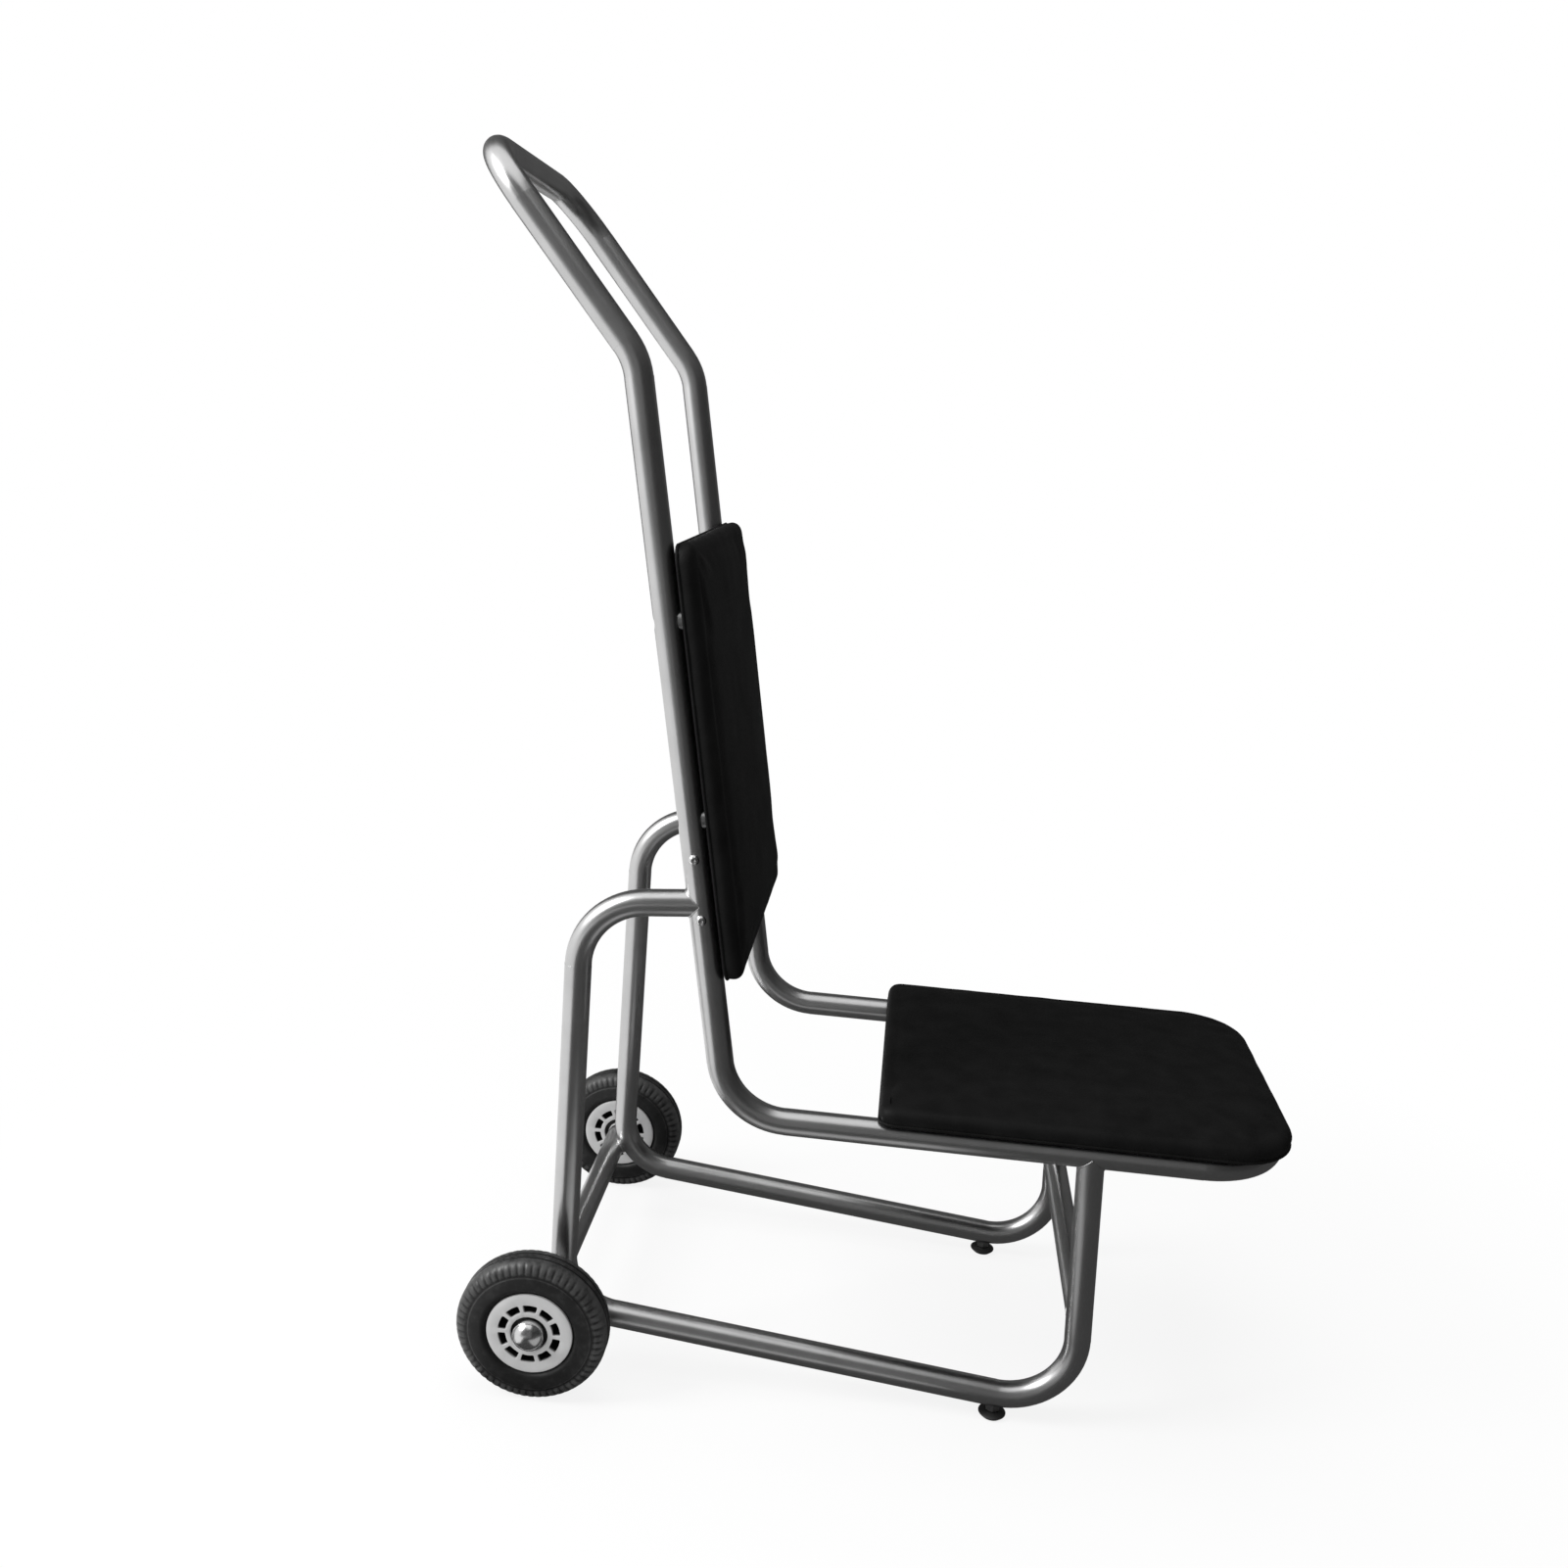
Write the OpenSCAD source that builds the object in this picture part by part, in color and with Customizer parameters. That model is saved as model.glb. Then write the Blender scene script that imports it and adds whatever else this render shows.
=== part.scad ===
// Stacking chair trolley: a chair-like tube frame with a raked handle, two padded panels,
// two rear wheels on one axle and two screw-in levelling feet.
// X points forward, Y to the left, Z up; the origin lies on the floor under the middle of the trolley.

/* [Frame tube] */
// Outer diameter of every frame tube
tube_d = 25.4; // [22:0.1:30]
// Wall of every frame tube
tube_wall = 2; // [1.2:0.1:3]
// Distance between the centre lines of the left and right tubes
frame_c = 296; // [270:1:340]
// Gap taken up by the weld at a coped or touching tube
weld_gap = 0.05; // [0.02:0.01:0.2]
// Thinning of the tube all round where it is bent
bend_thin = 0.15; // [0.1:0.05:0.3]
// Lap of each straight length into the bend beside it
bend_lap = 0.5; // [0.2:0.1:0.8]

/* [Back bow] */
// Height of the handle bar above the floor
handle_z = 1128.5; // [1050:0.5:1200]
// Distance of the handle bar behind the seat corner
handle_back = 262; // [230:1:320]
// Height of the kink between post and handle arm
kink_z = 966; // [900:0.1:1000]
// Distance of the kink behind the seat corner
kink_back = 124.4; // [110:0.1:160]
// Bend radius at the kink
kink_r = 60; // [40:1:120]
// Bend radius of the two handle corners
handle_r = 56; // [35:1:80]
// Rise of the joint between the two bows above the arm
joint_rise = 15.5; // [13:0.5:30]

/* [Seat bow] */
// Height of the corner between post and seat rail
corner_z = 284; // [270:0.5:310]
// Bend radius between post and seat rail
corner_r = 66; // [50:1:90]
// Distance of the nose bar behind the front edge of the seat pad
nose_in = 13; // [5:0.5:30]
// Rise of the seat rail from the corner to the nose bar
nose_rise = 7; // [0:0.5:30]
// Bend radius of the two nose corners
nose_r = 74; // [50:1:100]

/* [Joining sleeves] */
// Length of the sleeve inside each post
sleeve_l = 100; // [85:1:130]
// Wall of the sleeve
sleeve_wall = 2.5; // [1.5:0.1:4]
// Distance between the two screws of a sleeve
sleeve_screw_span = 57.6; // [45:0.1:70]
// Shank diameter of a sleeve screw
sleeve_screw_d = 5; // [4:0.5:6]
// Head diameter of a sleeve screw
sleeve_head_d = 10; // [8:0.5:12]
// Head height of a sleeve screw
sleeve_head_h = 3; // [2:0.5:5]

/* [Side frames] */
// Height at which the arm meets the post
arm_z = 492; // [470:1:500]
// Fall of the arm from the post to the corner above the rear leg
arm_fall = 11.6; // [2:0.1:30]
// Distance of that corner behind the seat corner
elbow_back = 149.5; // [135:0.1:175]
// Bend radius between arm and rear leg
elbow_r = 67; // [45:1:72]
// Height of the corner between rear leg and base rail
heel_z = 61.4; // [56:0.1:70]
// Distance of that corner behind the seat corner
heel_back = 149.5; // [130:0.1:165]
// Bend radius between rear leg and base rail
heel_r = 58; // [45:1:65]
// Height of the corner between base rail and front leg
toe_z = 18; // [16:0.5:24]
// Distance of that corner ahead of the seat corner
toe_front = 358.5; // [330:1:400]
// Bend radius between base rail and front leg
toe_r = 66; // [55:1:68]
// Distance ahead of the seat corner at which the front leg meets the seat rail
leg_front = 342; // [320:1:380]
// Height of the front crossbar
cross_z = 121; // [100:1:150]

/* [Wheels] */
// Diameter of a wheel over the tyre
wheel_d = 146; // [140:1:160]
// Distance between the middle planes of the two wheels
wheel_c = 408; // [400:1:430]
// Width of the tyre
tyre_w = 36; // [32:0.5:42]
// Rounding of the tyre shoulders
tyre_round = 12; // [6:0.5:14]
// Diameter of the visible rim
rim_d = 83; // [76:1:90]
// Width of the rim
rim_w = 34.5; // [30:0.5:38]
// Width of the tongue that locks the tyre on the rim
tongue_w = 14; // [8:0.5:20]
// Height of that tongue
tongue_h = 4; // [2:0.5:6]
// Length of the hub
hub_l = 36.5; // [35.5:0.5:45]
// Diameter of the hub boss
boss_d = 26; // [25:0.5:28]
// Outer diameter of the groove around the boss
groove_d = 36; // [32:0.5:40]
// Depth of that groove in each face
groove_h = 6; // [3:0.5:8]
// Diameter of the circle on which the slots lie
slot_circle_d = 53; // [50:0.5:56]
// Radial width of a slot
slot_w = 7.5; // [5:0.5:8]
// Length of a slot
slot_l = 12.2; // [8:0.1:13]
// Depth of a slot in each face
slot_h = 15; // [6:0.5:16]
// Number of slots in each face
slot_n = 10; // [8:1:12]

/* [Axle] */
// Diameter of the axle rod
rod_d = 12; // [10:0.5:14]
// Outer diameter of the hub bush
bush_d = 18; // [17:0.5:20]
// Running clearance all round between bush and rod
run_gap = 0.05; // [0.02:0.01:0.09]
// Side play between the hub and each washer
wheel_play = 0.3; // [0.2:0.05:0.5]
// Thickness of an axle washer
washer_h = 2; // [1.5:0.5:3]
// Diameter of an axle washer
washer_d = 24; // [22:0.5:25]
// Length of the plug in each end of the axle tube
plug_l = 22; // [15:1:30]
// Diameter of a push-on axle cap
cap_d = 30; // [26:0.5:32]
// Height of an axle cap
cap_h = 9.5; // [8.5:0.5:12]
// Wall of an axle cap
cap_wall = 1.2; // [0.8:0.1:1.6]
// Length of rod inside an axle cap
rod_in_cap = 5; // [3:0.5:5.5]

/* [Feet] */
// Distance of the feet ahead of the seat corner
foot_front = 282; // [260:1:284]
// Diameter of the glide at its widest
glide_d = 27; // [24:0.5:30]
// Diameter of the flat underside of the glide
glide_base_d = 21; // [18:0.5:23]
// Height of the widest place of the glide
glide_rim_h = 3.5; // [3:0.5:4.5]
// Height of the glide
glide_h = 6.5; // [6:0.5:7]
// Diameter of the flat top of the glide
glide_top_d = 15; // [14:0.5:18]
// Diameter of the threaded stem
stem_d = 8; // [6:0.5:9]
// Height of the end of the stem above the floor
stem_top = 30; // [26:0.5:31]
// Diameter of the stem plate held inside the glide
plate_d = 12; // [11:0.5:13]
// Thickness of that plate
plate_h = 2; // [1.5:0.5:2]
// Height of that plate above the floor
plate_z = 2; // [1.5:0.5:2]
// Width across the flats of the weld nut under the base rail
foot_nut_af = 13; // [12:0.5:14]
// Height of the underside of that nut above the floor
foot_nut_z = 7.2; // [7.1:0.1:8]
// Clearance all round between the stem and the hole in the rail
hole_gap = 0.5; // [0.3:0.1:1]

/* [Pads] */
// Overhang of both pads past the outer sides of the tubes
pad_over = 4.3; // [0:0.1:15]
// Height of a pad at its edge
pad_edge_h = 19; // [14:0.5:24]
// Rise of a pad from its edge to its middle
pad_crown = 6; // [3:0.5:10]
// Rounding of the upper pad edge
pad_round = 10; // [4:0.5:11]
// Distance by which the cover reaches around the board
pad_wrap = 4; // [3:0.5:6]
// Draw-in of the pad side towards the board
pad_draw = 2; // [0.5:0.5:2.5]
// Clearance all round between board and cushion
pad_clear = 0.4; // [0.3:0.05:0.6]
// Thickness of the two boards
board_t = 8; // [6:0.5:9]
// Height of the lower edge of the back pad along the post, from the seat corner
back_low = 136; // [130:1:170]
// Length of the back pad along the post
back_l = 401; // [340:1:420]
// Corner radius at the top of the back pad
back_top_r = 16; // [14:1:60]
// Corner radius at the foot of the back pad
back_low_r = 16; // [14:1:60]
// Gap between the posts and the back pad
back_gap = 2; // [1:0.5:5]
// Distance of the rear edge of the seat pad from the seat corner
seat_rear = 142; // [130:1:170]
// Length of the seat pad along the rail
seat_l = 389; // [350:1:410]
// Corner radius at the rear of the seat pad
seat_rear_r = 15; // [14:1:40]
// Corner radius at the front of the seat pad
seat_front_r = 64; // [50:1:100]

/* [Pad fixings] */
// Distance of the lower back screws from the lower edge of the back pad
back_screw_low = 154; // [145:1:185]
// Distance of the upper back screws from the top edge of the back pad
back_screw_top = 67; // [30:1:100]
// Distance of the rear seat screws from the rear edge of the seat pad
seat_screw_rear = 53; // [30:1:80]
// Distance of the front seat screws from the front edge of the seat pad
seat_screw_front = 121; // [100:1:150]
// Shank diameter of a pad screw
pad_screw_d = 6; // [5:0.5:6]
// Head diameter of a pad screw
pad_head_d = 11; // [10:0.5:12]
// Head height of a pad screw
pad_head_h = 3.5; // [2.5:0.5:5]
// Clearance all round between a screw head and its access hole
access_gap = 1; // [0.5:0.5:2]
// Flange diameter of a tee nut
tee_d = 16; // [14:0.5:18]
// Flange thickness of a tee nut
tee_h = 1.2; // [0.8:0.1:1.6]
// Barrel diameter of a tee nut
tee_barrel_d = 8; // [7.5:0.5:9]
// Diameter of a saddle spacer
spacer_d = 18; // [15:0.5:20]
// Reach of a saddle spacer around the post
spacer_reach = 2.5; // [1.5:0.5:3]

/* [Hidden] */
$fn = 72;
// Overrun of every cutting body past the face it cuts
over = 1;
// Shares that place the rings of a cushion between its edge and its middle
ring_shares = [0.93, 0.84, 0.7, 0.5, 0.26];
// Rows of sleeve screws above and below the joint
upper_row = [1];
lower_row = [-1];
both_rows = [-1, 1];
// Number of steps around a pad corner and along a pad side
corner_steps = 8;
side_steps = 8;
// Half of the frame width and of the pad width
half_c = frame_c / 2;
half_pad = half_c + tube_d / 2 + pad_over;
bore_d = tube_d - 2 * tube_wall;
coped_d = tube_d + 2 * weld_gap;

// Corner points of the frame in the side view, as distance ahead of the seat corner and height
nose_front = seat_rear + seat_l - nose_in;
elbow_z = arm_z - arm_fall;
joint_z = arm_z + joint_rise;
handle_p = [-handle_back, handle_z];
kink_p = [-kink_back, kink_z];
corner_p = [0, corner_z];
nose_p = [nose_front, corner_z + nose_rise];
elbow_p = [-elbow_back, elbow_z];
heel_p = [-heel_back, heel_z];
toe_p = [toe_front, toe_z];
joint_p = at_height(corner_p, kink_p, joint_z);
arm_p = at_height(corner_p, kink_p, arm_z);
leg_p = at_front(corner_p, nose_p, leg_front);
cross_p = at_height(toe_p, leg_p, cross_z);
foot_p = at_front(heel_p, toe_p, foot_front);
arm_out = way(kink_p, handle_p);
lean = way(corner_p, kink_p) - 90;
tilt = way(corner_p, nose_p);

// The axle tube touches the outside of the bend between rear leg and base rail
heel_c = bend_centre(elbow_p, heel_p, toe_p, heel_r);
axle_reach = heel_r + tube_d - bend_thin + weld_gap;
wheel_r = wheel_d / 2;
axle_drop = heel_c[1] - wheel_r;
axle_p = [heel_c[0] - sqrt(axle_reach * axle_reach - axle_drop * axle_drop), wheel_r];

// Stations along the axle, as distances from the middle of the trolley
wheel_y = wheel_c / 2;
hub_in = wheel_y - hub_l / 2;
hub_out = wheel_y + hub_l / 2;
tube_end = hub_in - 2 * wheel_play - washer_h;
cap_y = hub_out + 2 * wheel_play + washer_h;
rod_end = cap_y + rod_in_cap;

// Shift from the seat corner to the middle of the trolley's length
pad_bulge_z = tube_d / 2 + weld_gap + pad_edge_h - pad_round;
pad_front_x = (seat_rear + seat_l) * cos(tilt) - pad_bulge_z * sin(tilt);
front_x = max(nose_front + tube_d / 2, pad_front_x);
rear_x = min(-handle_back - tube_d / 2, axle_p[0] - wheel_r);
shift_x = -(front_x + rear_x) / 2;

// Direction, in degrees from forward towards up, of the way from one point to the next
function way(a, b) = atan2(b[1] - a[1], b[0] - a[0]);
// Angle brought between minus and plus half a turn
function wrap(t) = t > 180 ? t - 360 : t < -180 ? t + 360 : t;
// Signed turn of a path at its middle point
function turn(a, b, c) = wrap(way(b, c) - way(a, b));
// Length taken from each leg by a bend
function lead(a, b, c, r) = r * tan(abs(turn(a, b, c)) / 2);
// Distance from a corner to the end of the straight length before or after its bend
function reach(a, b, c, r) = lead(a, b, c, r) - bend_lap;
// Point at a distance from the first point towards the second
function along(a, b, s) = a + (b - a) * s / norm(b - a);
function at_height(a, b, z) = a + (b - a) * (z - a[1]) / (b[1] - a[1]);
function at_front(a, b, x) = a + (b - a) * (x - a[0]) / (b[0] - a[0]);
function bend_centre(a, b, c, r) =
    along(b, a, lead(a, b, c, r)) + r * side_step(way(a, b), sign(turn(a, b, c)));
function side_step(w, s) = [cos(w + 90 * s), sin(w + 90 * s)];

// Straight rod between two points of the side view
module run(a, b, d) {
    translate([a[0], 0, a[1]])
        rotate([0, 90 - way(a, b), 0])
            cylinder(h = norm(b - a), d = d);
}

// Bent rod at the middle point of three points of the side view
module bend(a, b, c, r, d) {
    t = turn(a, b, c);
    m = bend_centre(a, b, c, r);
    start = t > 0 ? way(a, b) - 90 : way(a, b) + 90 + t;
    translate([m[0], 0, m[1]])
        rotate([90, 0, 0])
            rotate([0, 0, start])
                rotate_extrude(angle = abs(t))
                    translate([r, 0])
                        circle(d = d - 2 * bend_thin);
}

// Two corners and the bar between them, in the plane of two parallel tubes that run along an angle
module bow_end(p, angle, r, d) {
    translate([p[0], 0, p[1]])
        rotate([0, -angle, 0]) {
            rotate([90, 0, 0])
                cylinder(h = frame_c - 2 * r + 2 * bend_lap, d = d, center = true);
            for (s = [-1, 1])
                translate([-r, s * (half_c - r), 0])
                    rotate([0, 0, s > 0 ? 0 : -90])
                        rotate_extrude(angle = 90)
                            translate([r, 0])
                                circle(d = d - 2 * bend_thin);
        }
}

// Copies on the left and on the right tube line
module both_sides() {
    for (s = [-1, 1])
        translate([0, s * half_c, 0])
            children();
}

// Frames: the trolley, the plane of the posts and the plane of the seat rails
module placed() {
    translate([shift_x, 0, 0])
        children();
}

module on_back() {
    placed()
        translate([0, 0, corner_z])
            rotate([0, -lean, 0])
                children();
}

module on_seat() {
    placed()
        translate([0, 0, corner_z])
            rotate([0, -tilt, 0])
                children();
}

// Solid form of the back bow, with its lower ends longer by a given length
module back_bow_form(d, extra) {
    foot = along(joint_p, corner_p, extra);
    kink_reach = reach(joint_p, kink_p, handle_p, kink_r);
    both_sides() {
        run(foot, along(kink_p, joint_p, kink_reach), d);
        bend(joint_p, kink_p, handle_p, kink_r, d);
        run(along(kink_p, handle_p, kink_reach), along(handle_p, kink_p, handle_r - bend_lap), d);
    }
    bow_end(handle_p, arm_out, handle_r, d);
}

module seat_bow_form(d, extra) {
    head = along(joint_p, kink_p, extra);
    corner_reach = reach(joint_p, corner_p, nose_p, corner_r);
    both_sides() {
        run(head, along(corner_p, joint_p, corner_reach), d);
        bend(joint_p, corner_p, nose_p, corner_r, d);
        run(along(corner_p, nose_p, corner_reach), along(nose_p, corner_p, nose_r - bend_lap), d);
    }
    bow_end(nose_p, tilt, nose_r, d);
}

module side_form(d) {
    elbow_reach = reach(arm_p, elbow_p, heel_p, elbow_r);
    heel_reach = reach(elbow_p, heel_p, toe_p, heel_r);
    toe_reach = reach(heel_p, toe_p, leg_p, toe_r);
    run(arm_p, along(elbow_p, arm_p, elbow_reach), d);
    bend(arm_p, elbow_p, heel_p, elbow_r, d);
    run(along(elbow_p, heel_p, elbow_reach), along(heel_p, elbow_p, heel_reach), d);
    bend(elbow_p, heel_p, toe_p, heel_r, d);
    run(along(heel_p, toe_p, heel_reach), along(toe_p, heel_p, toe_reach), d);
    bend(heel_p, toe_p, leg_p, toe_r, d);
    run(along(toe_p, leg_p, toe_reach), leg_p, d);
}

// Sleeve screws lie in the post plane and enter from the outer sides
module at_sleeve_screws(rows) {
    joint_s = norm(joint_p - corner_p);
    on_back()
        for (s = [-1, 1])
            for (k = rows)
                translate([0, s * half_c, joint_s + k * sleeve_screw_span / 2])
                    rotate([-90 * s, 0, 0])
                        children();
}

module at_back_screws() {
    on_back()
        for (s = [-1, 1])
            for (z = [back_low + back_screw_low, back_low + back_l - back_screw_top])
                translate([0, s * half_c, z])
                    rotate([0, 90, 0])
                        children();
}

module at_seat_screws() {
    on_seat()
        for (s = [-1, 1])
            for (x = [seat_rear + seat_screw_rear, seat_rear + seat_l - seat_screw_front])
                translate([x, s * half_c, 0])
                    children();
}

// Hole from the middle of a tube out through its wall
module hole_out(d) {
    cylinder(h = tube_d, d = d);
}

// Screw hole towards the pad and, in the wall across from it, the hole that lets the head in
module pad_holes() {
    hole_out(pad_screw_d);
    mirror([0, 0, 1])
        hole_out(pad_head_d + 2 * access_gap);
}

module back_bow() {
    color("silver")
        difference() {
            placed()
                difference() {
                    back_bow_form(tube_d, 0);
                    back_bow_form(bore_d, over);
                }
            at_sleeve_screws(upper_row)
                hole_out(sleeve_screw_d);
            at_back_screws()
                pad_holes();
        }
}

module seat_bow() {
    color("silver")
        difference() {
            placed()
                difference() {
                    seat_bow_form(tube_d, 0);
                    seat_bow_form(bore_d, over);
                }
            at_sleeve_screws(lower_row)
                hole_out(sleeve_screw_d);
            at_seat_screws()
                pad_holes();
        }
}

module post_sleeves() {
    joint_s = norm(joint_p - corner_p);
    color("gray")
        difference() {
            on_back()
                for (s = [-1, 1])
                    translate([0, s * half_c, joint_s - sleeve_l / 2])
                        difference() {
                            cylinder(h = sleeve_l, d = bore_d);
                            translate([0, 0, -over])
                                cylinder(h = sleeve_l + 2 * over, d = bore_d - 2 * sleeve_wall);
                        }
            at_sleeve_screws(both_rows)
                hole_out(sleeve_screw_d);
        }
}

module sleeve_screws() {
    color("silver")
        at_sleeve_screws(both_rows) {
            translate([0, 0, bore_d / 2 - sleeve_wall])
                cylinder(h = tube_wall + sleeve_wall, d = sleeve_screw_d);
            translate([0, 0, tube_d / 2])
                button_head(sleeve_head_d, sleeve_head_h);
        }
}

// Low dome on a flat base
module button_head(d, h) {
    dome_r = (d * d / 4 + h * h) / (2 * h);
    rotate_extrude()
        intersection() {
            translate([0, h - dome_r])
                circle(r = dome_r);
            square([d / 2, h]);
        }
}

module side_frame(s) {
    color("silver")
        placed()
            translate([0, s * half_c, 0])
                difference() {
                    side_form(tube_d);
                    side_form(bore_d);
                    run(corner_p, kink_p, coped_d);
                    run(corner_p, nose_p, coped_d);
                    translate([foot_p[0], 0, 0])
                        cylinder(h = foot_p[1], d = stem_d + 2 * hole_gap);
                }
}

module left_side_frame() {
    side_frame(1);
}

module right_side_frame() {
    side_frame(-1);
}

module front_crossbar() {
    color("silver")
        placed()
            difference() {
                translate([cross_p[0], 0, cross_p[1]])
                    rotate([90, 0, 0])
                        difference() {
                            cylinder(h = frame_c, d = tube_d, center = true);
                            cylinder(h = frame_c + 2 * over, d = bore_d, center = true);
                        }
                both_sides()
                    run(toe_p, leg_p, coped_d);
            }
}

// Frame of the axle, in the middle of the trolley
module on_axle() {
    placed()
        translate([axle_p[0], 0, axle_p[1]])
            children();
}

// Both halves of the axle: Z of the children runs outward along it
module axle_ends() {
    on_axle()
        for (s = [-1, 1])
            rotate([-90 * s, 0, 0])
                children();
}

module axle_tube() {
    color("silver")
        on_axle()
            rotate([90, 0, 0])
                difference() {
                    cylinder(h = 2 * tube_end, d = tube_d, center = true);
                    cylinder(h = 2 * tube_end + 2 * over, d = bore_d, center = true);
                }
}

module axle_plugs() {
    color("gray")
        axle_ends()
            translate([0, 0, tube_end - plug_l])
                ring(plug_l, bore_d, rod_d);
}

module ring(h, d_out, d_in) {
    difference() {
        cylinder(h = h, d = d_out);
        translate([0, 0, -over])
            cylinder(h = h + 2 * over, d = d_in);
    }
}

module axle_rod() {
    color("gray")
        on_axle()
            rotate([90, 0, 0])
                cylinder(h = 2 * rod_end, d = rod_d, center = true);
}

module inner_washers() {
    color("silver")
        axle_ends()
            translate([0, 0, tube_end + wheel_play])
                ring(washer_h, washer_d, rod_d);
}

module outer_washers() {
    color("silver")
        axle_ends()
            translate([0, 0, hub_out + wheel_play])
                ring(washer_h, washer_d, rod_d);
}

// Hollow dome whose base grips the rod
module axle_caps() {
    color("silver")
        axle_ends()
            translate([0, 0, cap_y])
                difference() {
                    button_head(cap_d, cap_h);
                    translate([0, 0, cap_wall])
                        button_head(cap_d - 2 * cap_wall, cap_h - 2 * cap_wall);
                    rod_between(-over, cap_wall + over, rod_d);
                }
}

module hexagon(h, af) {
    cylinder(h = h, d = af / cos(30), $fn = 6);
}

module wheel_at(s) {
    on_axle()
        translate([0, s * wheel_y, 0])
            rotate([-90 * s, 0, 0])
                children();
}

module tyre() {
    tread_r = wheel_d / 2;
    seat_r = rim_d / 2;
    color("dimgray")
        rotate_extrude()
            difference() {
                union() {
                    translate([seat_r, -tyre_w / 2])
                        square([tread_r - tyre_round - seat_r, tyre_w]);
                    translate([seat_r, tyre_round - tyre_w / 2])
                        square([tread_r - seat_r, tyre_w - 2 * tyre_round]);
                    for (k = [-1, 1])
                        translate([tread_r - tyre_round, k * (tyre_w / 2 - tyre_round)])
                            circle(r = tyre_round);
                }
                translate([seat_r - over, -tongue_w / 2])
                    square([tongue_h + over, tongue_w]);
            }
}

module rim() {
    color("gainsboro")
        difference() {
            rotate_extrude()
                difference() {
                    union() {
                        translate([bush_d / 2, -rim_w / 2])
                            square([rim_d / 2 - bush_d / 2, rim_w]);
                        translate([bush_d / 2, -tongue_w / 2])
                            square([rim_d / 2 + tongue_h - bush_d / 2, tongue_w]);
                        translate([bush_d / 2, -hub_l / 2])
                            square([boss_d / 2 - bush_d / 2, hub_l]);
                    }
                    for (k = [-1, 1])
                        translate([boss_d / 2, k * rim_w / 2 - groove_h])
                            square([groove_d / 2 - boss_d / 2, 2 * groove_h]);
                }
            for (k = [-1, 1])
                for (i = [0 : slot_n - 1])
                    rotate([0, 0, (i + 0.5) * 360 / slot_n])
                        translate([slot_circle_d / 2, 0, k * rim_w / 2])
                            cube([slot_w, slot_l, 2 * slot_h], center = true);
        }
}

module hub_bush() {
    color("white")
        translate([0, 0, -hub_l / 2])
            ring(hub_l, bush_d, rod_d + 2 * run_gap);
}

module left_tyre() {
    wheel_at(1)
        tyre();
}

module left_rim() {
    wheel_at(1)
        rim();
}

module left_hub_bush() {
    wheel_at(1)
        hub_bush();
}

module right_tyre() {
    wheel_at(-1)
        tyre();
}

module right_rim() {
    wheel_at(-1)
        rim();
}

module right_hub_bush() {
    wheel_at(-1)
        hub_bush();
}

module at_foot(s) {
    placed()
        translate([foot_p[0], s * half_c, 0])
            children();
}

module foot_nuts() {
    color("silver")
        for (s = [-1, 1])
            difference() {
                at_foot(s)
                    translate([0, 0, foot_nut_z])
                        difference() {
                            hexagon(foot_p[1] - foot_nut_z, foot_nut_af);
                            translate([0, 0, -over])
                                cylinder(h = foot_p[1] + over, d = stem_d + 2 * run_gap);
                        }
                placed()
                    translate([0, s * half_c, 0])
                        run(heel_p, toe_p, coped_d);
            }
}

module foot_stem() {
    color("gray") {
        rod_between(plate_z, stem_top, stem_d);
        rod_between(plate_z, plate_z + plate_h, plate_d);
    }
}

module foot_glide() {
    color("black")
        difference() {
            rotate_extrude()
                polygon([[0, 0], [glide_base_d / 2, 0], [glide_d / 2, glide_rim_h],
                         [glide_top_d / 2, glide_h], [0, glide_h]]);
            rod_between(plate_z, glide_h + over, stem_d + 2 * run_gap);
            rod_between(plate_z - run_gap, plate_z + plate_h + run_gap, plate_d + 2 * run_gap);
        }
}

// Upright rod between two heights
module rod_between(low, high, d) {
    translate([0, 0, low])
        cylinder(h = high - low, d = d);
}

module left_foot_stem() {
    at_foot(1)
        foot_stem();
}

module left_foot_glide() {
    at_foot(1)
        foot_glide();
}

module right_foot_stem() {
    at_foot(-1)
        foot_stem();
}

module right_foot_glide() {
    at_foot(-1)
        foot_glide();
}

// Pad frames: X runs along the pad, Y across it and Z away from the tubes
module on_back_pad() {
    on_back()
        translate([tube_d / 2 + back_gap, 0, back_low + back_l])
            rotate([0, 90, 0])
                children();
}

module on_seat_pad() {
    on_seat()
        translate([seat_rear, 0, tube_d / 2 + weld_gap])
            children();
}

// Outline of a board: a rectangle with one radius at its start and one at its end
module board_outline(l, r0, r1) {
    hw = half_pad - pad_wrap;
    translate([pad_wrap + r0, -hw])
        square([l - 2 * pad_wrap - r0 - r1, 2 * hw]);
    translate([pad_wrap, r0 - hw])
        square([r0, 2 * hw - 2 * r0]);
    translate([l - pad_wrap - r1, r1 - hw])
        square([r1, 2 * hw - 2 * r1]);
    for (s = [-1, 1]) {
        translate([pad_wrap + r0, s * (hw - r0)])
            circle(r = r0);
        translate([l - pad_wrap - r1, s * (hw - r1)])
            circle(r = r1);
    }
}

module board(l, r0, r1) {
    linear_extrude(height = board_t)
        board_outline(l, r0 - pad_wrap, r1 - pad_wrap);
}

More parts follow.
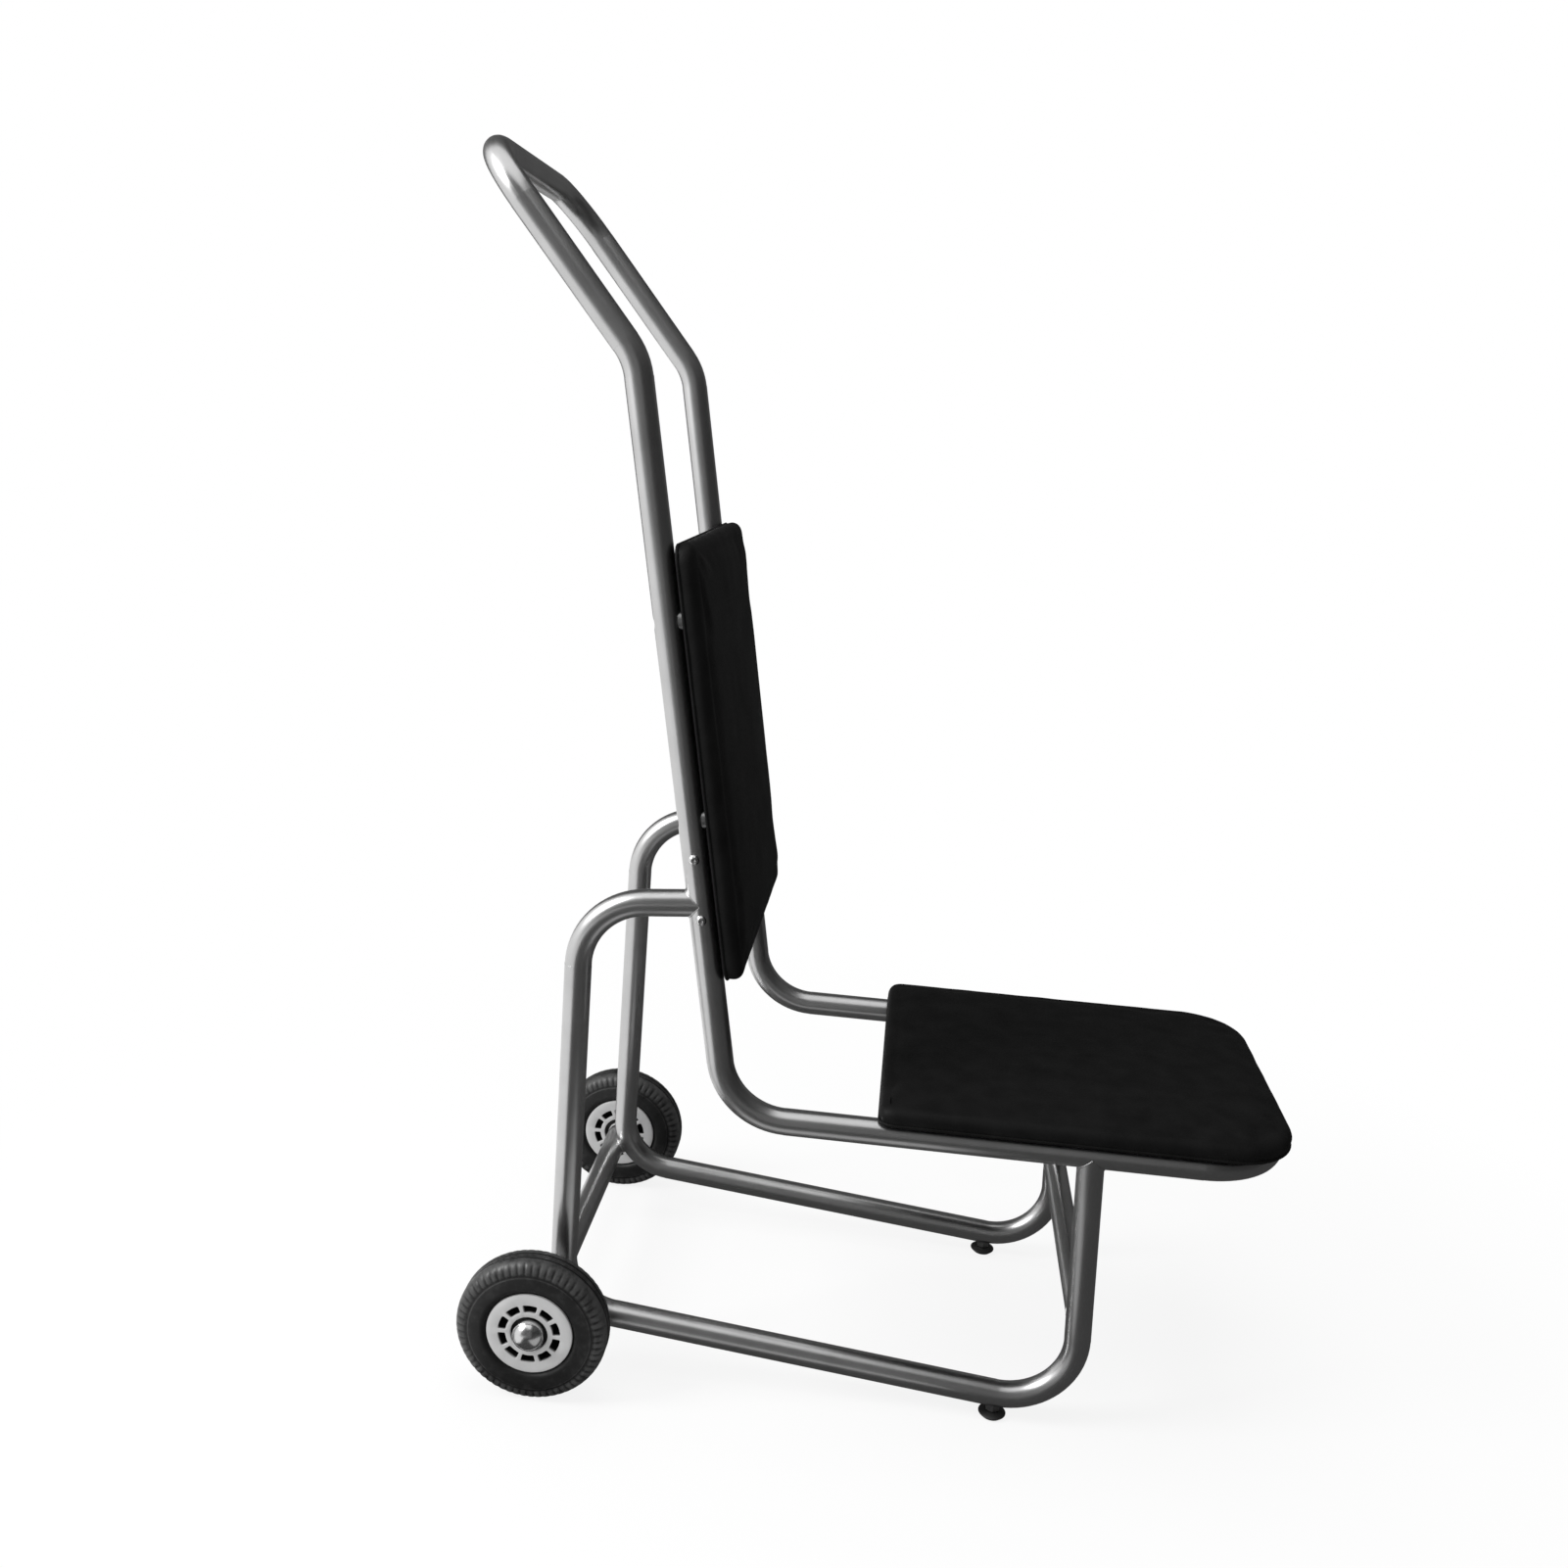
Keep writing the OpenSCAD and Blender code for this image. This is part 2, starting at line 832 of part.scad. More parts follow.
// Ring of points around a pad, drawn in from its outline by a length
function arc(c, r, a) = [for (i = [0 : corner_steps]) c + r * side_step(a + 90 * i / corner_steps, 0)];
function between(a, b) = [for (i = [1 : side_steps - 1]) a + (b - a) * i / side_steps];
function outline(l, r0, r1, e) =
    let (
        c1 = arc([l - r1, r1 - half_pad], r1 - e, -90),
        c2 = arc([l - r1, half_pad - r1], r1 - e, 0),
        c3 = arc([r0, half_pad - r0], r0 - e, 90),
        c4 = arc([r0, r0 - half_pad], r0 - e, 180)
    )
    concat(c1, between(c1[corner_steps], c2[0]), c2, between(c2[corner_steps], c3[0]),
           c3, between(c3[corner_steps], c4[0]), c4, between(c4[corner_steps], c1[0]));
function raised(pts, z) = [for (p = pts) [p[0], p[1], z]];
function shrunk(pts, m, k) = [for (p = pts) m + (p - m) * k];
// Points lifted to the crown, which falls to nothing along all four edges
function fall(d, half) = 1 - d * d / (half * half);
function crowned(pts, m, hl, hw) = [
    for (p = pts) [p[0], p[1], pad_edge_h + pad_crown * fall(p[0] - m[0], hl) * fall(p[1] - m[1], hw)]
];
function ring_tris(a, b, n) = [
    for (i = [0 : n - 1])
        for (t = [[a + i, b + i, b + (i + 1) % n], [a + i, b + (i + 1) % n, a + (i + 1) % n]])
            t
];

// Cushion with a crown, rounded upper edges, drawn-in sides and a pocket that takes the board
module cushion(l, r0, r1) {
    m = [l / 2, 0];
    edge = outline(l, r0, r1, pad_round);
    pocket = outline(l, r0, r1, pad_wrap - pad_clear);
    half_round = pad_round * (1 - cos(45));
    low_round = pad_edge_h - pad_round;
    rings = concat(
        [raised(pocket, board_t + pad_clear), raised(pocket, pad_clear)],
        [raised(outline(l, r0, r1, pad_draw), pad_clear)],
        [raised(outline(l, r0, r1, 0), low_round)],
        [raised(outline(l, r0, r1, half_round), pad_edge_h - half_round)],
        [raised(edge, pad_edge_h)],
        [for (k = ring_shares) crowned(shrunk(edge, m, k), m, l / 2 - pad_round, half_pad - pad_round)]
    );
    n = len(edge);
    count = len(rings);
    floor_i = n * count;
    top_i = floor_i + 1;
    middle = [[m[0], m[1], board_t + pad_clear], [m[0], m[1], pad_edge_h + pad_crown]];
    points = concat([for (r = rings) each r], middle);
    faces = concat(
        [for (i = [0 : n - 1]) [floor_i, i, (i + 1) % n]],
        [for (j = [0 : count - 2]) each ring_tris(j * n, (j + 1) * n, n)],
        [for (i = [0 : n - 1]) [(count - 1) * n + i, top_i, (count - 1) * n + (i + 1) % n]]
    );
    polyhedron(points = points, faces = faces);
}

module back_board() {
    color("burlywood")
        difference() {
            on_back_pad()
                board(back_l, back_top_r, back_low_r);
            at_back_screws()
                tee_hole(tube_d / 2 + back_gap);
        }
}

module seat_board() {
    color("burlywood")
        difference() {
            on_seat_pad()
                board(seat_l, seat_rear_r, seat_front_r);
            at_seat_screws()
                tee_hole(tube_d / 2 + weld_gap);
        }
}

// Stepped hole of a tee nut in a board whose lower face lies at a given height
module tee_hole(z) {
    rod_between(z - over, z + board_t + over, tee_barrel_d);
    rod_between(z + board_t - tee_h, z + board_t + over, tee_d);
}

module tee_nut(z) {
    difference() {
        union() {
            rod_between(z, z + board_t, tee_barrel_d);
            rod_between(z + board_t - tee_h, z + board_t, tee_d);
        }
        rod_between(z - over, z + board_t + over, pad_screw_d);
    }
}

// The head bears on the inside of the tube wall next to the pad
module pad_screw(z) {
    head_z = sqrt(bore_d * bore_d - pad_head_d * pad_head_d) / 2 - weld_gap;
    rod_between(head_z, z + board_t, pad_screw_d);
    translate([0, 0, head_z])
        mirror([0, 0, 1])
            button_head(pad_head_d, pad_head_h);
}

module back_cushion() {
    color("black")
        on_back_pad()
            cushion(back_l, back_top_r, back_low_r);
}

module seat_cushion() {
    color("black")
        on_seat_pad()
            cushion(seat_l, seat_rear_r, seat_front_r);
}

module back_spacers() {
    color("silver")
        difference() {
            at_back_screws()
                difference() {
                    rod_between(tube_d / 2 - spacer_reach, tube_d / 2 + back_gap, spacer_d);
                    hole_out(pad_screw_d);
                }
            placed()
                both_sides()
                    run(corner_p, kink_p, coped_d);
        }
}

module back_screws() {
    color("silver")
        at_back_screws()
            pad_screw(tube_d / 2 + back_gap);
}

module back_tee_nuts() {
    color("silver")
        at_back_screws()
            tee_nut(tube_d / 2 + back_gap);
}

module seat_screws() {
    color("silver")
        at_seat_screws()
            pad_screw(tube_d / 2 + weld_gap);
}

module seat_tee_nuts() {
    color("silver")
        at_seat_screws()
            tee_nut(tube_d / 2 + weld_gap);
}

back_bow();
seat_bow();
post_sleeves();
sleeve_screws();
left_side_frame();
right_side_frame();
front_crossbar();
axle_tube();
axle_plugs();
axle_rod();
inner_washers();
outer_washers();
axle_caps();
left_tyre();
left_rim();
left_hub_bush();
right_tyre();
right_rim();
right_hub_bush();
foot_nuts();
left_foot_stem();
left_foot_glide();
right_foot_stem();
right_foot_glide();
back_board();
back_cushion();
back_spacers();
back_screws();
back_tee_nuts();
seat_board();
seat_cushion();
seat_screws();
seat_tee_nuts();
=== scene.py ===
import math

import bmesh
import bpy
from mathutils import Matrix, Vector, noise


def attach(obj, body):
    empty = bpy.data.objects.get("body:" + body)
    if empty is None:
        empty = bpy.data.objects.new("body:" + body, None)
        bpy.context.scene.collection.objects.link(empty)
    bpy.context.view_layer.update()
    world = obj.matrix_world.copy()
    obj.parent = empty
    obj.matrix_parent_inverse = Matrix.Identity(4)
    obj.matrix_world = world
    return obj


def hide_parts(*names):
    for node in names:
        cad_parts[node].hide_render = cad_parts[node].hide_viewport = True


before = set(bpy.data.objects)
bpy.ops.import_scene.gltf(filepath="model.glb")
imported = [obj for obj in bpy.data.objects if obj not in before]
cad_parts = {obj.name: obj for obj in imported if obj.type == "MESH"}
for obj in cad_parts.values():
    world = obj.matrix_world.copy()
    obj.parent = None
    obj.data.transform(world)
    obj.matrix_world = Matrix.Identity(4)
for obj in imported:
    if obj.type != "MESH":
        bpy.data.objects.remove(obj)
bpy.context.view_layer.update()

scene = bpy.context.scene
scene.view_settings.view_transform = "Standard"

# Sizes of the part in metres, as in its source
MM = 0.001
SHIFT_X = -128 * MM
HALF_C = 148 * MM
TUBE_R = 12.7 * MM
WELD_GAP = 0.05 * MM
BEND_THIN = 0.15 * MM
HEEL_R = 58 * MM
WHEEL_R = 73 * MM
SIDES = (("left", 1), ("right", -1))


def at_height(a, b, height):
    """Point at a height on the line through two side-view points."""
    return a.lerp(b, (height - a.y) / (b.y - a.y))


def at_front(a, b, ahead):
    """Point at a distance ahead of the seat corner on the line through two side-view points."""
    return a.lerp(b, (ahead - a.x) / (b.x - a.x))


# Points of the frame in the side view, as (ahead of the seat corner, height)
CORNER = Vector((0, 284)) * MM
KINK = Vector((-124.4, 966)) * MM
NOSE = Vector((518, 291)) * MM
ELBOW = Vector((-149.5, 480.4)) * MM
HEEL = Vector((-149.5, 61.4)) * MM
TOE = Vector((358.5, 18)) * MM
ARM = at_height(CORNER, KINK, 492 * MM)
JOINT = at_height(CORNER, KINK, 507.5 * MM)
LEG = at_front(CORNER, NOSE, 342 * MM)
CROSS = at_height(TOE, LEG, 121 * MM)
FOOT = at_front(HEEL, TOE, 282 * MM)
LEAN = math.atan2(CORNER.x - KINK.x, KINK.y - CORNER.y)
TILT = math.atan2(NOSE.y - CORNER.y, NOSE.x - CORNER.x)
BASE_FALL = math.atan2(HEEL.y - TOE.y, TOE.x - HEEL.x)
# The rear leg is upright, so the bend below it has its middle one bend radius ahead of the leg
HEEL_CENTRE = at_front(HEEL, TOE, HEEL.x + HEEL_R) + Vector((0, HEEL_R / math.cos(BASE_FALL)))
# The axle tube touches the outside of that bend
AXLE_REACH = HEEL_R + 2 * TUBE_R - BEND_THIN + WELD_GAP
AXLE_BACK = math.sqrt(AXLE_REACH ** 2 - (HEEL_CENTRE.y - WHEEL_R) ** 2)
AXLE = Vector((HEEL_CENTRE.x - AXLE_BACK, WHEEL_R))

# Frames at the seat corner: the posts run along Z of the first, the seat rails along X of the second
POST_FRAME = Matrix.Translation((SHIFT_X, 0, CORNER.y)) @ Matrix.Rotation(-LEAN, 4, "Y")
RAIL_FRAME = Matrix.Translation((SHIFT_X, 0, CORNER.y)) @ Matrix.Rotation(-TILT, 4, "Y")


# Materials


class Shader:
    """A material whose Principled shader is fed by a few textures in object space."""

    def __init__(self, name, **sockets):
        self.mat = bpy.data.materials.new(name)
        self.mat.use_nodes = True
        self.tree = self.mat.node_tree
        self.bsdf = self.tree.nodes["Principled BSDF"]
        for key, value in sockets.items():
            self.bsdf.inputs[key.replace("_", " ").title().replace("Ior", "IOR")].default_value = value
        self.place = self.tree.nodes.new("ShaderNodeTexCoord").outputs["Object"]

    def node(self, kind, inputs=(), **settings):
        made = self.tree.nodes.new(kind)
        for key, value in settings.items():
            setattr(made, key, value)
        for key, value in dict(inputs).items():
            if isinstance(value, bpy.types.NodeSocket):
                self.tree.links.new(value, made.inputs[key])
            else:
                made.inputs[key].default_value = value
        return made

    def stretched(self, scale, turn=(0, 0, 0)):
        inputs = {"Vector": self.place, "Scale": scale, "Rotation": turn}
        return self.node("ShaderNodeMapping", inputs).outputs["Vector"]

    def noise(self, scale, detail=3.0, rough=0.5, place=None):
        inputs = {"Vector": place or self.place, "Scale": scale, "Detail": detail, "Roughness": rough}
        return self.node("ShaderNodeTexNoise", inputs).outputs["Fac"]

    def cells(self, scale):
        inputs = {"Vector": self.place, "Scale": scale}
        return self.node("ShaderNodeTexVoronoi", inputs, feature="SMOOTH_F1").outputs["Distance"]

    def attribute(self, name):
        return self.node("ShaderNodeAttribute", attribute_name=name).outputs["Fac"]

    def math(self, operation, a, b):
        return self.node("ShaderNodeMath", {0: a, 1: b}, operation=operation).outputs[0]

    def ramp(self, fac, *stops):
        made = self.node("ShaderNodeValToRGB", {"Fac": fac})
        ends = made.color_ramp.elements
        while len(ends) < len(stops):
            ends.new(0.5)
        for end, (at, grey) in zip(ends, stops):
            end.position = at
            end.color = (grey, grey, grey, 1)
        return made.outputs["Color"]

    def mix(self, fac, a, b):
        return self.node("ShaderNodeMix", {"Factor": fac, 6: a, 7: b}, data_type="RGBA").outputs[2]

    def feed(self, socket, value):
        self.tree.links.new(value, self.bsdf.inputs[socket])

    def bumps(self, *layers):
        """Each layer is a height, a strength and a distance in metres."""
        normal = None
        for height, strength, distance in layers:
            inputs = {"Height": height, "Strength": strength, "Distance": distance}
            if normal:
                inputs["Normal"] = normal
            normal = self.node("ShaderNodeBump", inputs).outputs["Normal"]
        self.feed("Normal", normal)


def steel(name, dark, light, smooth, rough, grain):
    """Polished or plated steel: uneven tone, smeared polish and faint fine scratches."""
    s = Shader(name, metallic=1.0)
    smear = s.noise(9, 5, 0.6)
    fine = s.noise(grain, 6, 0.65)
    s.feed("Base Color", s.ramp(s.noise(26, 4), (0.3, dark), (0.7, light)))
    polish = s.math("ADD", s.math("MULTIPLY", smear, 0.95), s.math("MULTIPLY", fine, 0.05))
    s.feed("Roughness", s.ramp(polish, (0.3, smooth), (0.7, rough)))
    s.bumps((s.noise(60, 2), 0.02, 0.3 * MM), (fine, 0.005, 0.05 * MM))
    return s.mat


def vinyl():
    """Black grained vinyl with a slight polish where it is stretched."""
    s = Shader("vinyl_black", specular_ior_level=0.12)
    pores = s.cells(620)
    soft = s.noise(16, 4)
    sheen = s.math("ADD", s.math("MULTIPLY", pores, 0.5), s.math("MULTIPLY", soft, 0.6))
    s.feed("Base Color", s.ramp(s.noise(40, 5), (0.25, 0.004), (0.75, 0.008)))
    s.feed("Roughness", s.ramp(sheen, (0.25, 0.5), (0.75, 0.66)))
    s.bumps((soft, 0.1, 1.2 * MM), (s.noise(210, 4), 0.2, 0.25 * MM), (pores, 0.35, 0.3 * MM))
    return s.mat


def rubber():
    """Black rubber, paler where tone is high: scuffing and painted highlight on the shoulder crests; low tone
    is painted shade at the rim seam, in grooves and in creases.
    """
    s = Shader("tyre_rubber", specular_ior_level=0.5)
    tone = s.attribute("tone")
    wear_and_shade = s.math("MULTIPLY", tone, s.noise(120, 5, 0.65))
    s.feed("Base Color", s.ramp(wear_and_shade, (0.0, 0.001), (0.22, 0.008), (0.5, 0.05)))
    scuffs = s.math("SUBTRACT", s.noise(90, 4), s.math("MULTIPLY", tone, 0.3))
    s.feed("Roughness", s.ramp(scuffs, (0.0, 0.36), (0.6, 0.66)))
    s.bumps((s.noise(70, 3), 0.1, 0.5 * MM), (s.noise(700, 4), 0.2, 0.12 * MM))
    return s.mat


# Near-black that deep places of the rim fade to: painted shade
PAINTED_SHADE_GREY = (0.012, 0.012, 0.012, 1)


def moulded(name, dark, light, smooth, rough, with_painted_shade=False):
    """Moulded plastic with a spark-eroded skin; deep places marked by tone get painted shade, darkened
    towards near-black.
    """
    s = Shader(name, specular_ior_level=0.45)
    skin = s.noise(900, 4)
    colour = s.ramp(s.noise(55, 4), (0.3, dark), (0.7, light))
    # Painted shade: deep places marked by tone are darkened towards near-black
    if with_painted_shade:
        shade_mask = s.math("MULTIPLY", s.attribute("tone"), s.math("ADD", s.noise(150, 3), 0.55))
        colour = s.mix(s.ramp(shade_mask, (0.1, 0.0), (0.8, 1.0)), colour, PAINTED_SHADE_GREY)
    s.feed("Base Color", colour)
    s.feed("Roughness", s.ramp(s.noise(75, 4), (0.3, smooth), (0.7, rough)))
    s.bumps((s.noise(110, 3), 0.06, 0.4 * MM), (skin, 0.14, 0.1 * MM))
    return s.mat


def plywood(name, turn):
    """Birch plywood stained black: grain along the board, plies across its thickness."""
    s = Shader(name, specular_ior_level=0.1)
    along = s.stretched((9, 130, 130), (0, turn, 0))
    grain = s.noise(1, 5, 0.6, along)
    layers = {"Vector": s.stretched((1, 1, 1), (0, turn, 0)), "Scale": 100, "Distortion": 0.4, "Detail": 2.0}
    plies = s.node("ShaderNodeTexWave", layers, bands_direction="Z").outputs["Fac"]
    mixed = s.math("ADD", s.math("MULTIPLY", grain, 0.75), s.math("MULTIPLY", plies, 0.25))
    s.feed("Base Color", s.ramp(mixed, (0.25, 0.0015), (0.5, 0.004), (0.75, 0.008)))
    s.feed("Roughness", s.ramp(grain, (0.3, 0.5), (0.7, 0.7)))
    s.bumps((grain, 0.2, 0.2 * MM))
    return s.mat


TUBE = steel("tube_polished", 0.54, 0.6, 0.28, 0.34, 640)
PLATED = steel("plated_bright", 0.6, 0.68, 0.2, 0.3, 900)
PLAIN = steel("steel_drawn", 0.28, 0.38, 0.3, 0.45, 800)
WELD = steel("weld_bead", 0.48, 0.62, 0.28, 0.4, 1200)
VINYL = vinyl()
RUBBER = rubber()
RIM = moulded("rim_grey", 0.5, 0.57, 0.36, 0.5, with_painted_shade=True)
NYLON = moulded("bush_nylon", 0.66, 0.74, 0.4, 0.55)
GLIDE = moulded("glide_black", 0.012, 0.022, 0.38, 0.55)
BACK_PLY = plywood("plywood_back", LEAN + math.pi / 2)
SEAT_PLY = plywood("plywood_seat", TILT)

NODE_MATERIALS = {
    TUBE: ("back_bow", "seat_bow", "left_side_frame", "right_side_frame", "front_crossbar", "axle_tube"),
    PLAIN: ("post_sleeves", "axle_plugs", "axle_rod", "back_spacers"),
    PLATED: ("inner_washers", "outer_washers", "back_screws", "back_tee_nuts", "seat_screws",
             "seat_tee_nuts"),
    NYLON: ("left_hub_bush", "right_hub_bush"),
    BACK_PLY: ("back_board",),
    SEAT_PLY: ("seat_board",),
}
for mat, names in NODE_MATERIALS.items():
    for name in names:
        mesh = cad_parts[name].data
        mesh.materials.clear()
        mesh.materials.append(mat)


# Mesh helpers


def piece(name, bm, mat, body, stands_for=(), crease=38.0):
    """Makes an object of the mesh, smooth but for edges sharper than crease, and sets it on its body."""
    bmesh.ops.remove_doubles(bm, verts=bm.verts, dist=0.0001 * MM)
    bmesh.ops.recalc_face_normals(bm, faces=bm.faces)
    mesh = bpy.data.meshes.new(name)
    bm.to_mesh(mesh)
    bm.free()
    mesh.polygons.foreach_set("use_smooth", [True] * len(mesh.polygons))
    mesh.set_sharp_from_angle(angle=math.radians(crease))
    obj = bpy.data.objects.new(name, mesh)
    scene.collection.objects.link(obj)
    mesh.materials.append(mat)
    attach(obj, body)
    if stands_for:
        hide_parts(*stands_for)


def ring_point(row, a):
    """Point at an angle around Z, for a row of (radius, height) in millimetres."""
    r, h = row
    return r * MM * math.cos(a), r * MM * math.sin(a), h * MM


def revolve(bm, rows, angles, point, matrix):
    """Closed grid around an axis, from point(row, angle) in the local frame. Returns its rows of vertices."""
    grid = [[bm.verts.new(matrix @ Vector(point(row, a))) for a in angles] for row in rows]
    n = len(angles)
    for low, high in zip(grid, grid[1:] + grid[:1]):
        for i in range(n):
            bm.faces.new((low[i], low[(i + 1) % n], high[(i + 1) % n], high[i]))
    return grid


def turns(n):
    """Angles of n even steps around a circle."""
    return [2 * math.pi * i / n for i in range(n)]


def outward(s):
    """Turns Z to point out of the trolley on side s."""
    return Matrix.Rotation(-s * math.pi / 2, 4, "X")


def lathe(bm, profile, n, matrix):
    """Revolves a closed profile of (radius, height) in millimetres."""
    revolve(bm, profile, turns(n), ring_point, matrix)


def arc(cx, cy, r, start, end, steps):
    """Points of an arc in a profile, angles in degrees."""
    spread = [math.radians(start + (end - start) * i / steps) for i in range(steps + 1)]
    return [(cx + r * math.cos(a), cy + r * math.sin(a)) for a in spread]


def hexagon_radius(angle, flats):
    """Distance from the middle of a hexagon to its side."""
    return flats / 2 / math.cos((angle + math.pi / 6) % (math.pi / 3) - math.pi / 6)


BEAD_STEPS = 8
# Any direction that no weld runs along
BEAD_ASIDE = Vector((0.31, 0.52, 0.79))


def bead(bm, points, radii, ripple):
    """Closed weld bead along points, with the scales that a weld leaves."""
    n = len(points)
    steps = BEAD_STEPS
    travelled = 0.0
    rings = []
    for i, p in enumerate(points):
        ahead = (points[(i + 1) % n] - points[i - 1]).normalized()
        side = ahead.cross(BEAD_ASIDE).normalized()
        up = side.cross(ahead)
        travelled += (p - points[i - 1]).length if i else 0.0
        scales = 0.13 * abs(math.sin(math.pi * travelled / ripple))
        r = radii[i] * (1 + scales + 0.12 * noise.noise(p * 260))
        rings.append([bm.verts.new(p + r * (math.cos(a) * side + math.sin(a) * up)) for a in turns(steps)])
    for i in range(n):
        low, high = rings[i - 1], rings[i]
        shift = min(range(steps), key=lambda k: (high[k].co - low[0].co).length)
        for k in range(steps):
            j = (k + shift) % steps
            bm.faces.new((low[k], low[(k + 1) % steps], high[(j + 1) % steps], high[j]))


def saddle(start, ahead, other, other_dir, radius, n):
    """Where a tube that runs from start along ahead meets another tube of the same radius."""
    side = ahead.cross(other_dir).normalized()
    up = side.cross(ahead).normalized()
    points = []
    for a in turns(n):
        p = start + radius * (math.cos(a) * side + math.sin(a) * up)
        w = p - other
        w -= w.dot(other_dir) * other_dir
        d = ahead - ahead.dot(other_dir) * other_dir
        b, c = w.dot(d), w.dot(w) - radius * radius
        root = math.sqrt(max(b * b - d.dot(d) * c, 0.0))
        points.append(p + ahead * (-b - root) / d.dot(d))
    return points


def in_row(p, y):
    """Point of the scene for a side-view point, at the width y."""
    return Vector((p.x + SHIFT_X, y, p.y))


def way(a, b):
    """Direction from one side-view point to another."""
    return Vector((b.x - a.x, 0, b.y - a.y)).normalized()


# Welds

BEAD_R = 1.0 * MM
BEAD_SIDE_SHARE = 0.2
BEAD_RIPPLE = 2.4 * MM
BEAD_POINTS = 120
AXLE_WELD_R = 7.5 * MM
AXLE_BEAD_R = 1.9 * MM
AXLE_WELD_POINTS = 64
# Thinner at the two places where the tubes lie flush
SADDLE_RADII = [
    BEAD_R * (BEAD_SIDE_SHARE + (1 - BEAD_SIDE_SHARE) * abs(math.sin(a))) for a in turns(BEAD_POINTS)
]


def saddle_weld(name, start, ahead, other, other_dir):
    """Bead where a tube from start along ahead is coped to another tube."""
    bm = bmesh.new()
    bead(bm, saddle(start, ahead, other, other_dir, TUBE_R, BEAD_POINTS), SADDLE_RADII, BEAD_RIPPLE)
    piece(name, bm, WELD, "frame", crease=80.0)


def axle_weld(name, y):
    """Bead around the place where the axle tube touches the bend of a side frame."""
    out = (AXLE - HEEL_CENTRE).normalized()
    contact = in_row(HEEL_CENTRE + out * (HEEL_R + TUBE_R - BEND_THIN), y)
    out = Vector((out.x, 0, out.y))
    along = out.cross(Vector((0, 1, 0)))
    ring = []
    for a in turns(AXLE_WELD_POINTS):
        u, v = AXLE_WELD_R * math.cos(a), AXLE_WELD_R * math.sin(a)
        fall = (v * v / TUBE_R - u * u / TUBE_R - v * v / (HEEL_R + TUBE_R)) / 4
        ring.append(contact + Vector((0, u, 0)) + along * v + out * fall)
    bm = bmesh.new()
    bead(bm, ring, [AXLE_BEAD_R] * len(ring), BEAD_RIPPLE)
    piece(name, bm, WELD, "frame", crease=80.0)


for side, s in SIDES:
    y = s * HALF_C
    corner, toe = in_row(CORNER, y), in_row(TOE, y)
    saddle_weld(f"{side}_arm_weld", in_row(ELBOW, y), way(ELBOW, ARM), corner, way(CORNER, KINK))
    saddle_weld(f"{side}_leg_weld", toe, way(TOE, LEG), corner, way(CORNER, NOSE))
    saddle_weld(f"{side}_crossbar_weld", in_row(CROSS, 0), Vector((0, s, 0)), toe, way(TOE, LEG))
    axle_weld(f"{side}_axle_weld", y)


# Wheels: radii and heights in millimetres, heights from the middle of the wheel

WHEEL_Y = 204 * MM
TYRE_R = WHEEL_R / MM
TYRE_ROUND = 12.0
LUGS = 60
LUG_DEPTH = 0.85
# Depth of the groove between two ribs, step by step around the tyre
LUG_STEPS = (1.0, 0.7, 0.15, 0.0, 0.0, 0.0, 0.15, 0.7)
# Share of that depth over the shoulder, from the wall to the tread
SHOULDER_SHARES = (0.7, 1.0, 1.0, 0.9, 0.7, 0.45, 0.28, 0.16, 0.1, 0.08)
TREAD_SHARE = 0.08
# Share of the tone that is lost at the bottom of a groove: painted shade in the grooves
GROOVE_SHADE = 0.6
# Inner side of the tyre, where it sits in the rim
TONGUE = ((41.5, 7.0), (45.5, 7.0))


def on_axle(s, y):
    """Frame on the axle at a width on side s, with Z pointing outward."""
    return Matrix.Translation((AXLE.x + SHIFT_X, s * y, AXLE.y)) @ outward(s)


def tyre_rows():
    """Half profile of the tyre as (radius, height, share of the groove depth, tone), from rim to tread."""
    # Tone paints light and shade: black where the tyre meets the rim, a lighter edge line over a dark crease,
    # a dark ring groove, and pale shoulder crests that are scuffing and painted highlight
    lip = [(41.5, 14.6, 0, 0.0), (42.4, 14.4, 0, 0.0), (43.4, 15.4, 0, 0.0),
           (44.8, 17.1, 0, 0.05), (46.2, 17.8, 0, 0.3)]
    wall = [(48.5, 18.0, 0, 0.42), (53.0, 18.0, 0, 0.42), (58.0, 17.95, 0, 0.45)]
    edge_line = [(59.0, 17.75, 0, 0.75), (59.6, 17.2, 0, 0.3), (60.2, 17.0, 0, 0.3), (61.2, 17.1, 0.4, 0.6)]
    round_off = arc(TYRE_R - TYRE_ROUND, 6.0, TYRE_ROUND, 79, 4, len(SHOULDER_SHARES) - 1)
    shoulder = [(r, h - 0.2, share, 0.95) for (r, h), share in zip(round_off, SHOULDER_SHARES)]
    ring_groove = [(TYRE_R - 0.2, 4.3, 0, 0.3), (TYRE_R - 0.8, 4.1, 0, 0.15),
                   (TYRE_R - 0.8, 3.1, 0, 0.15), (TYRE_R - 0.2, 2.9, 0, 0.3)]
    tread = [(TYRE_R, h, TREAD_SHARE, 0.6) for h in (4.6, 2.6, 0.8)]
    return lip + wall + edge_line + shoulder + tread[:1] + ring_groove + tread[1:]


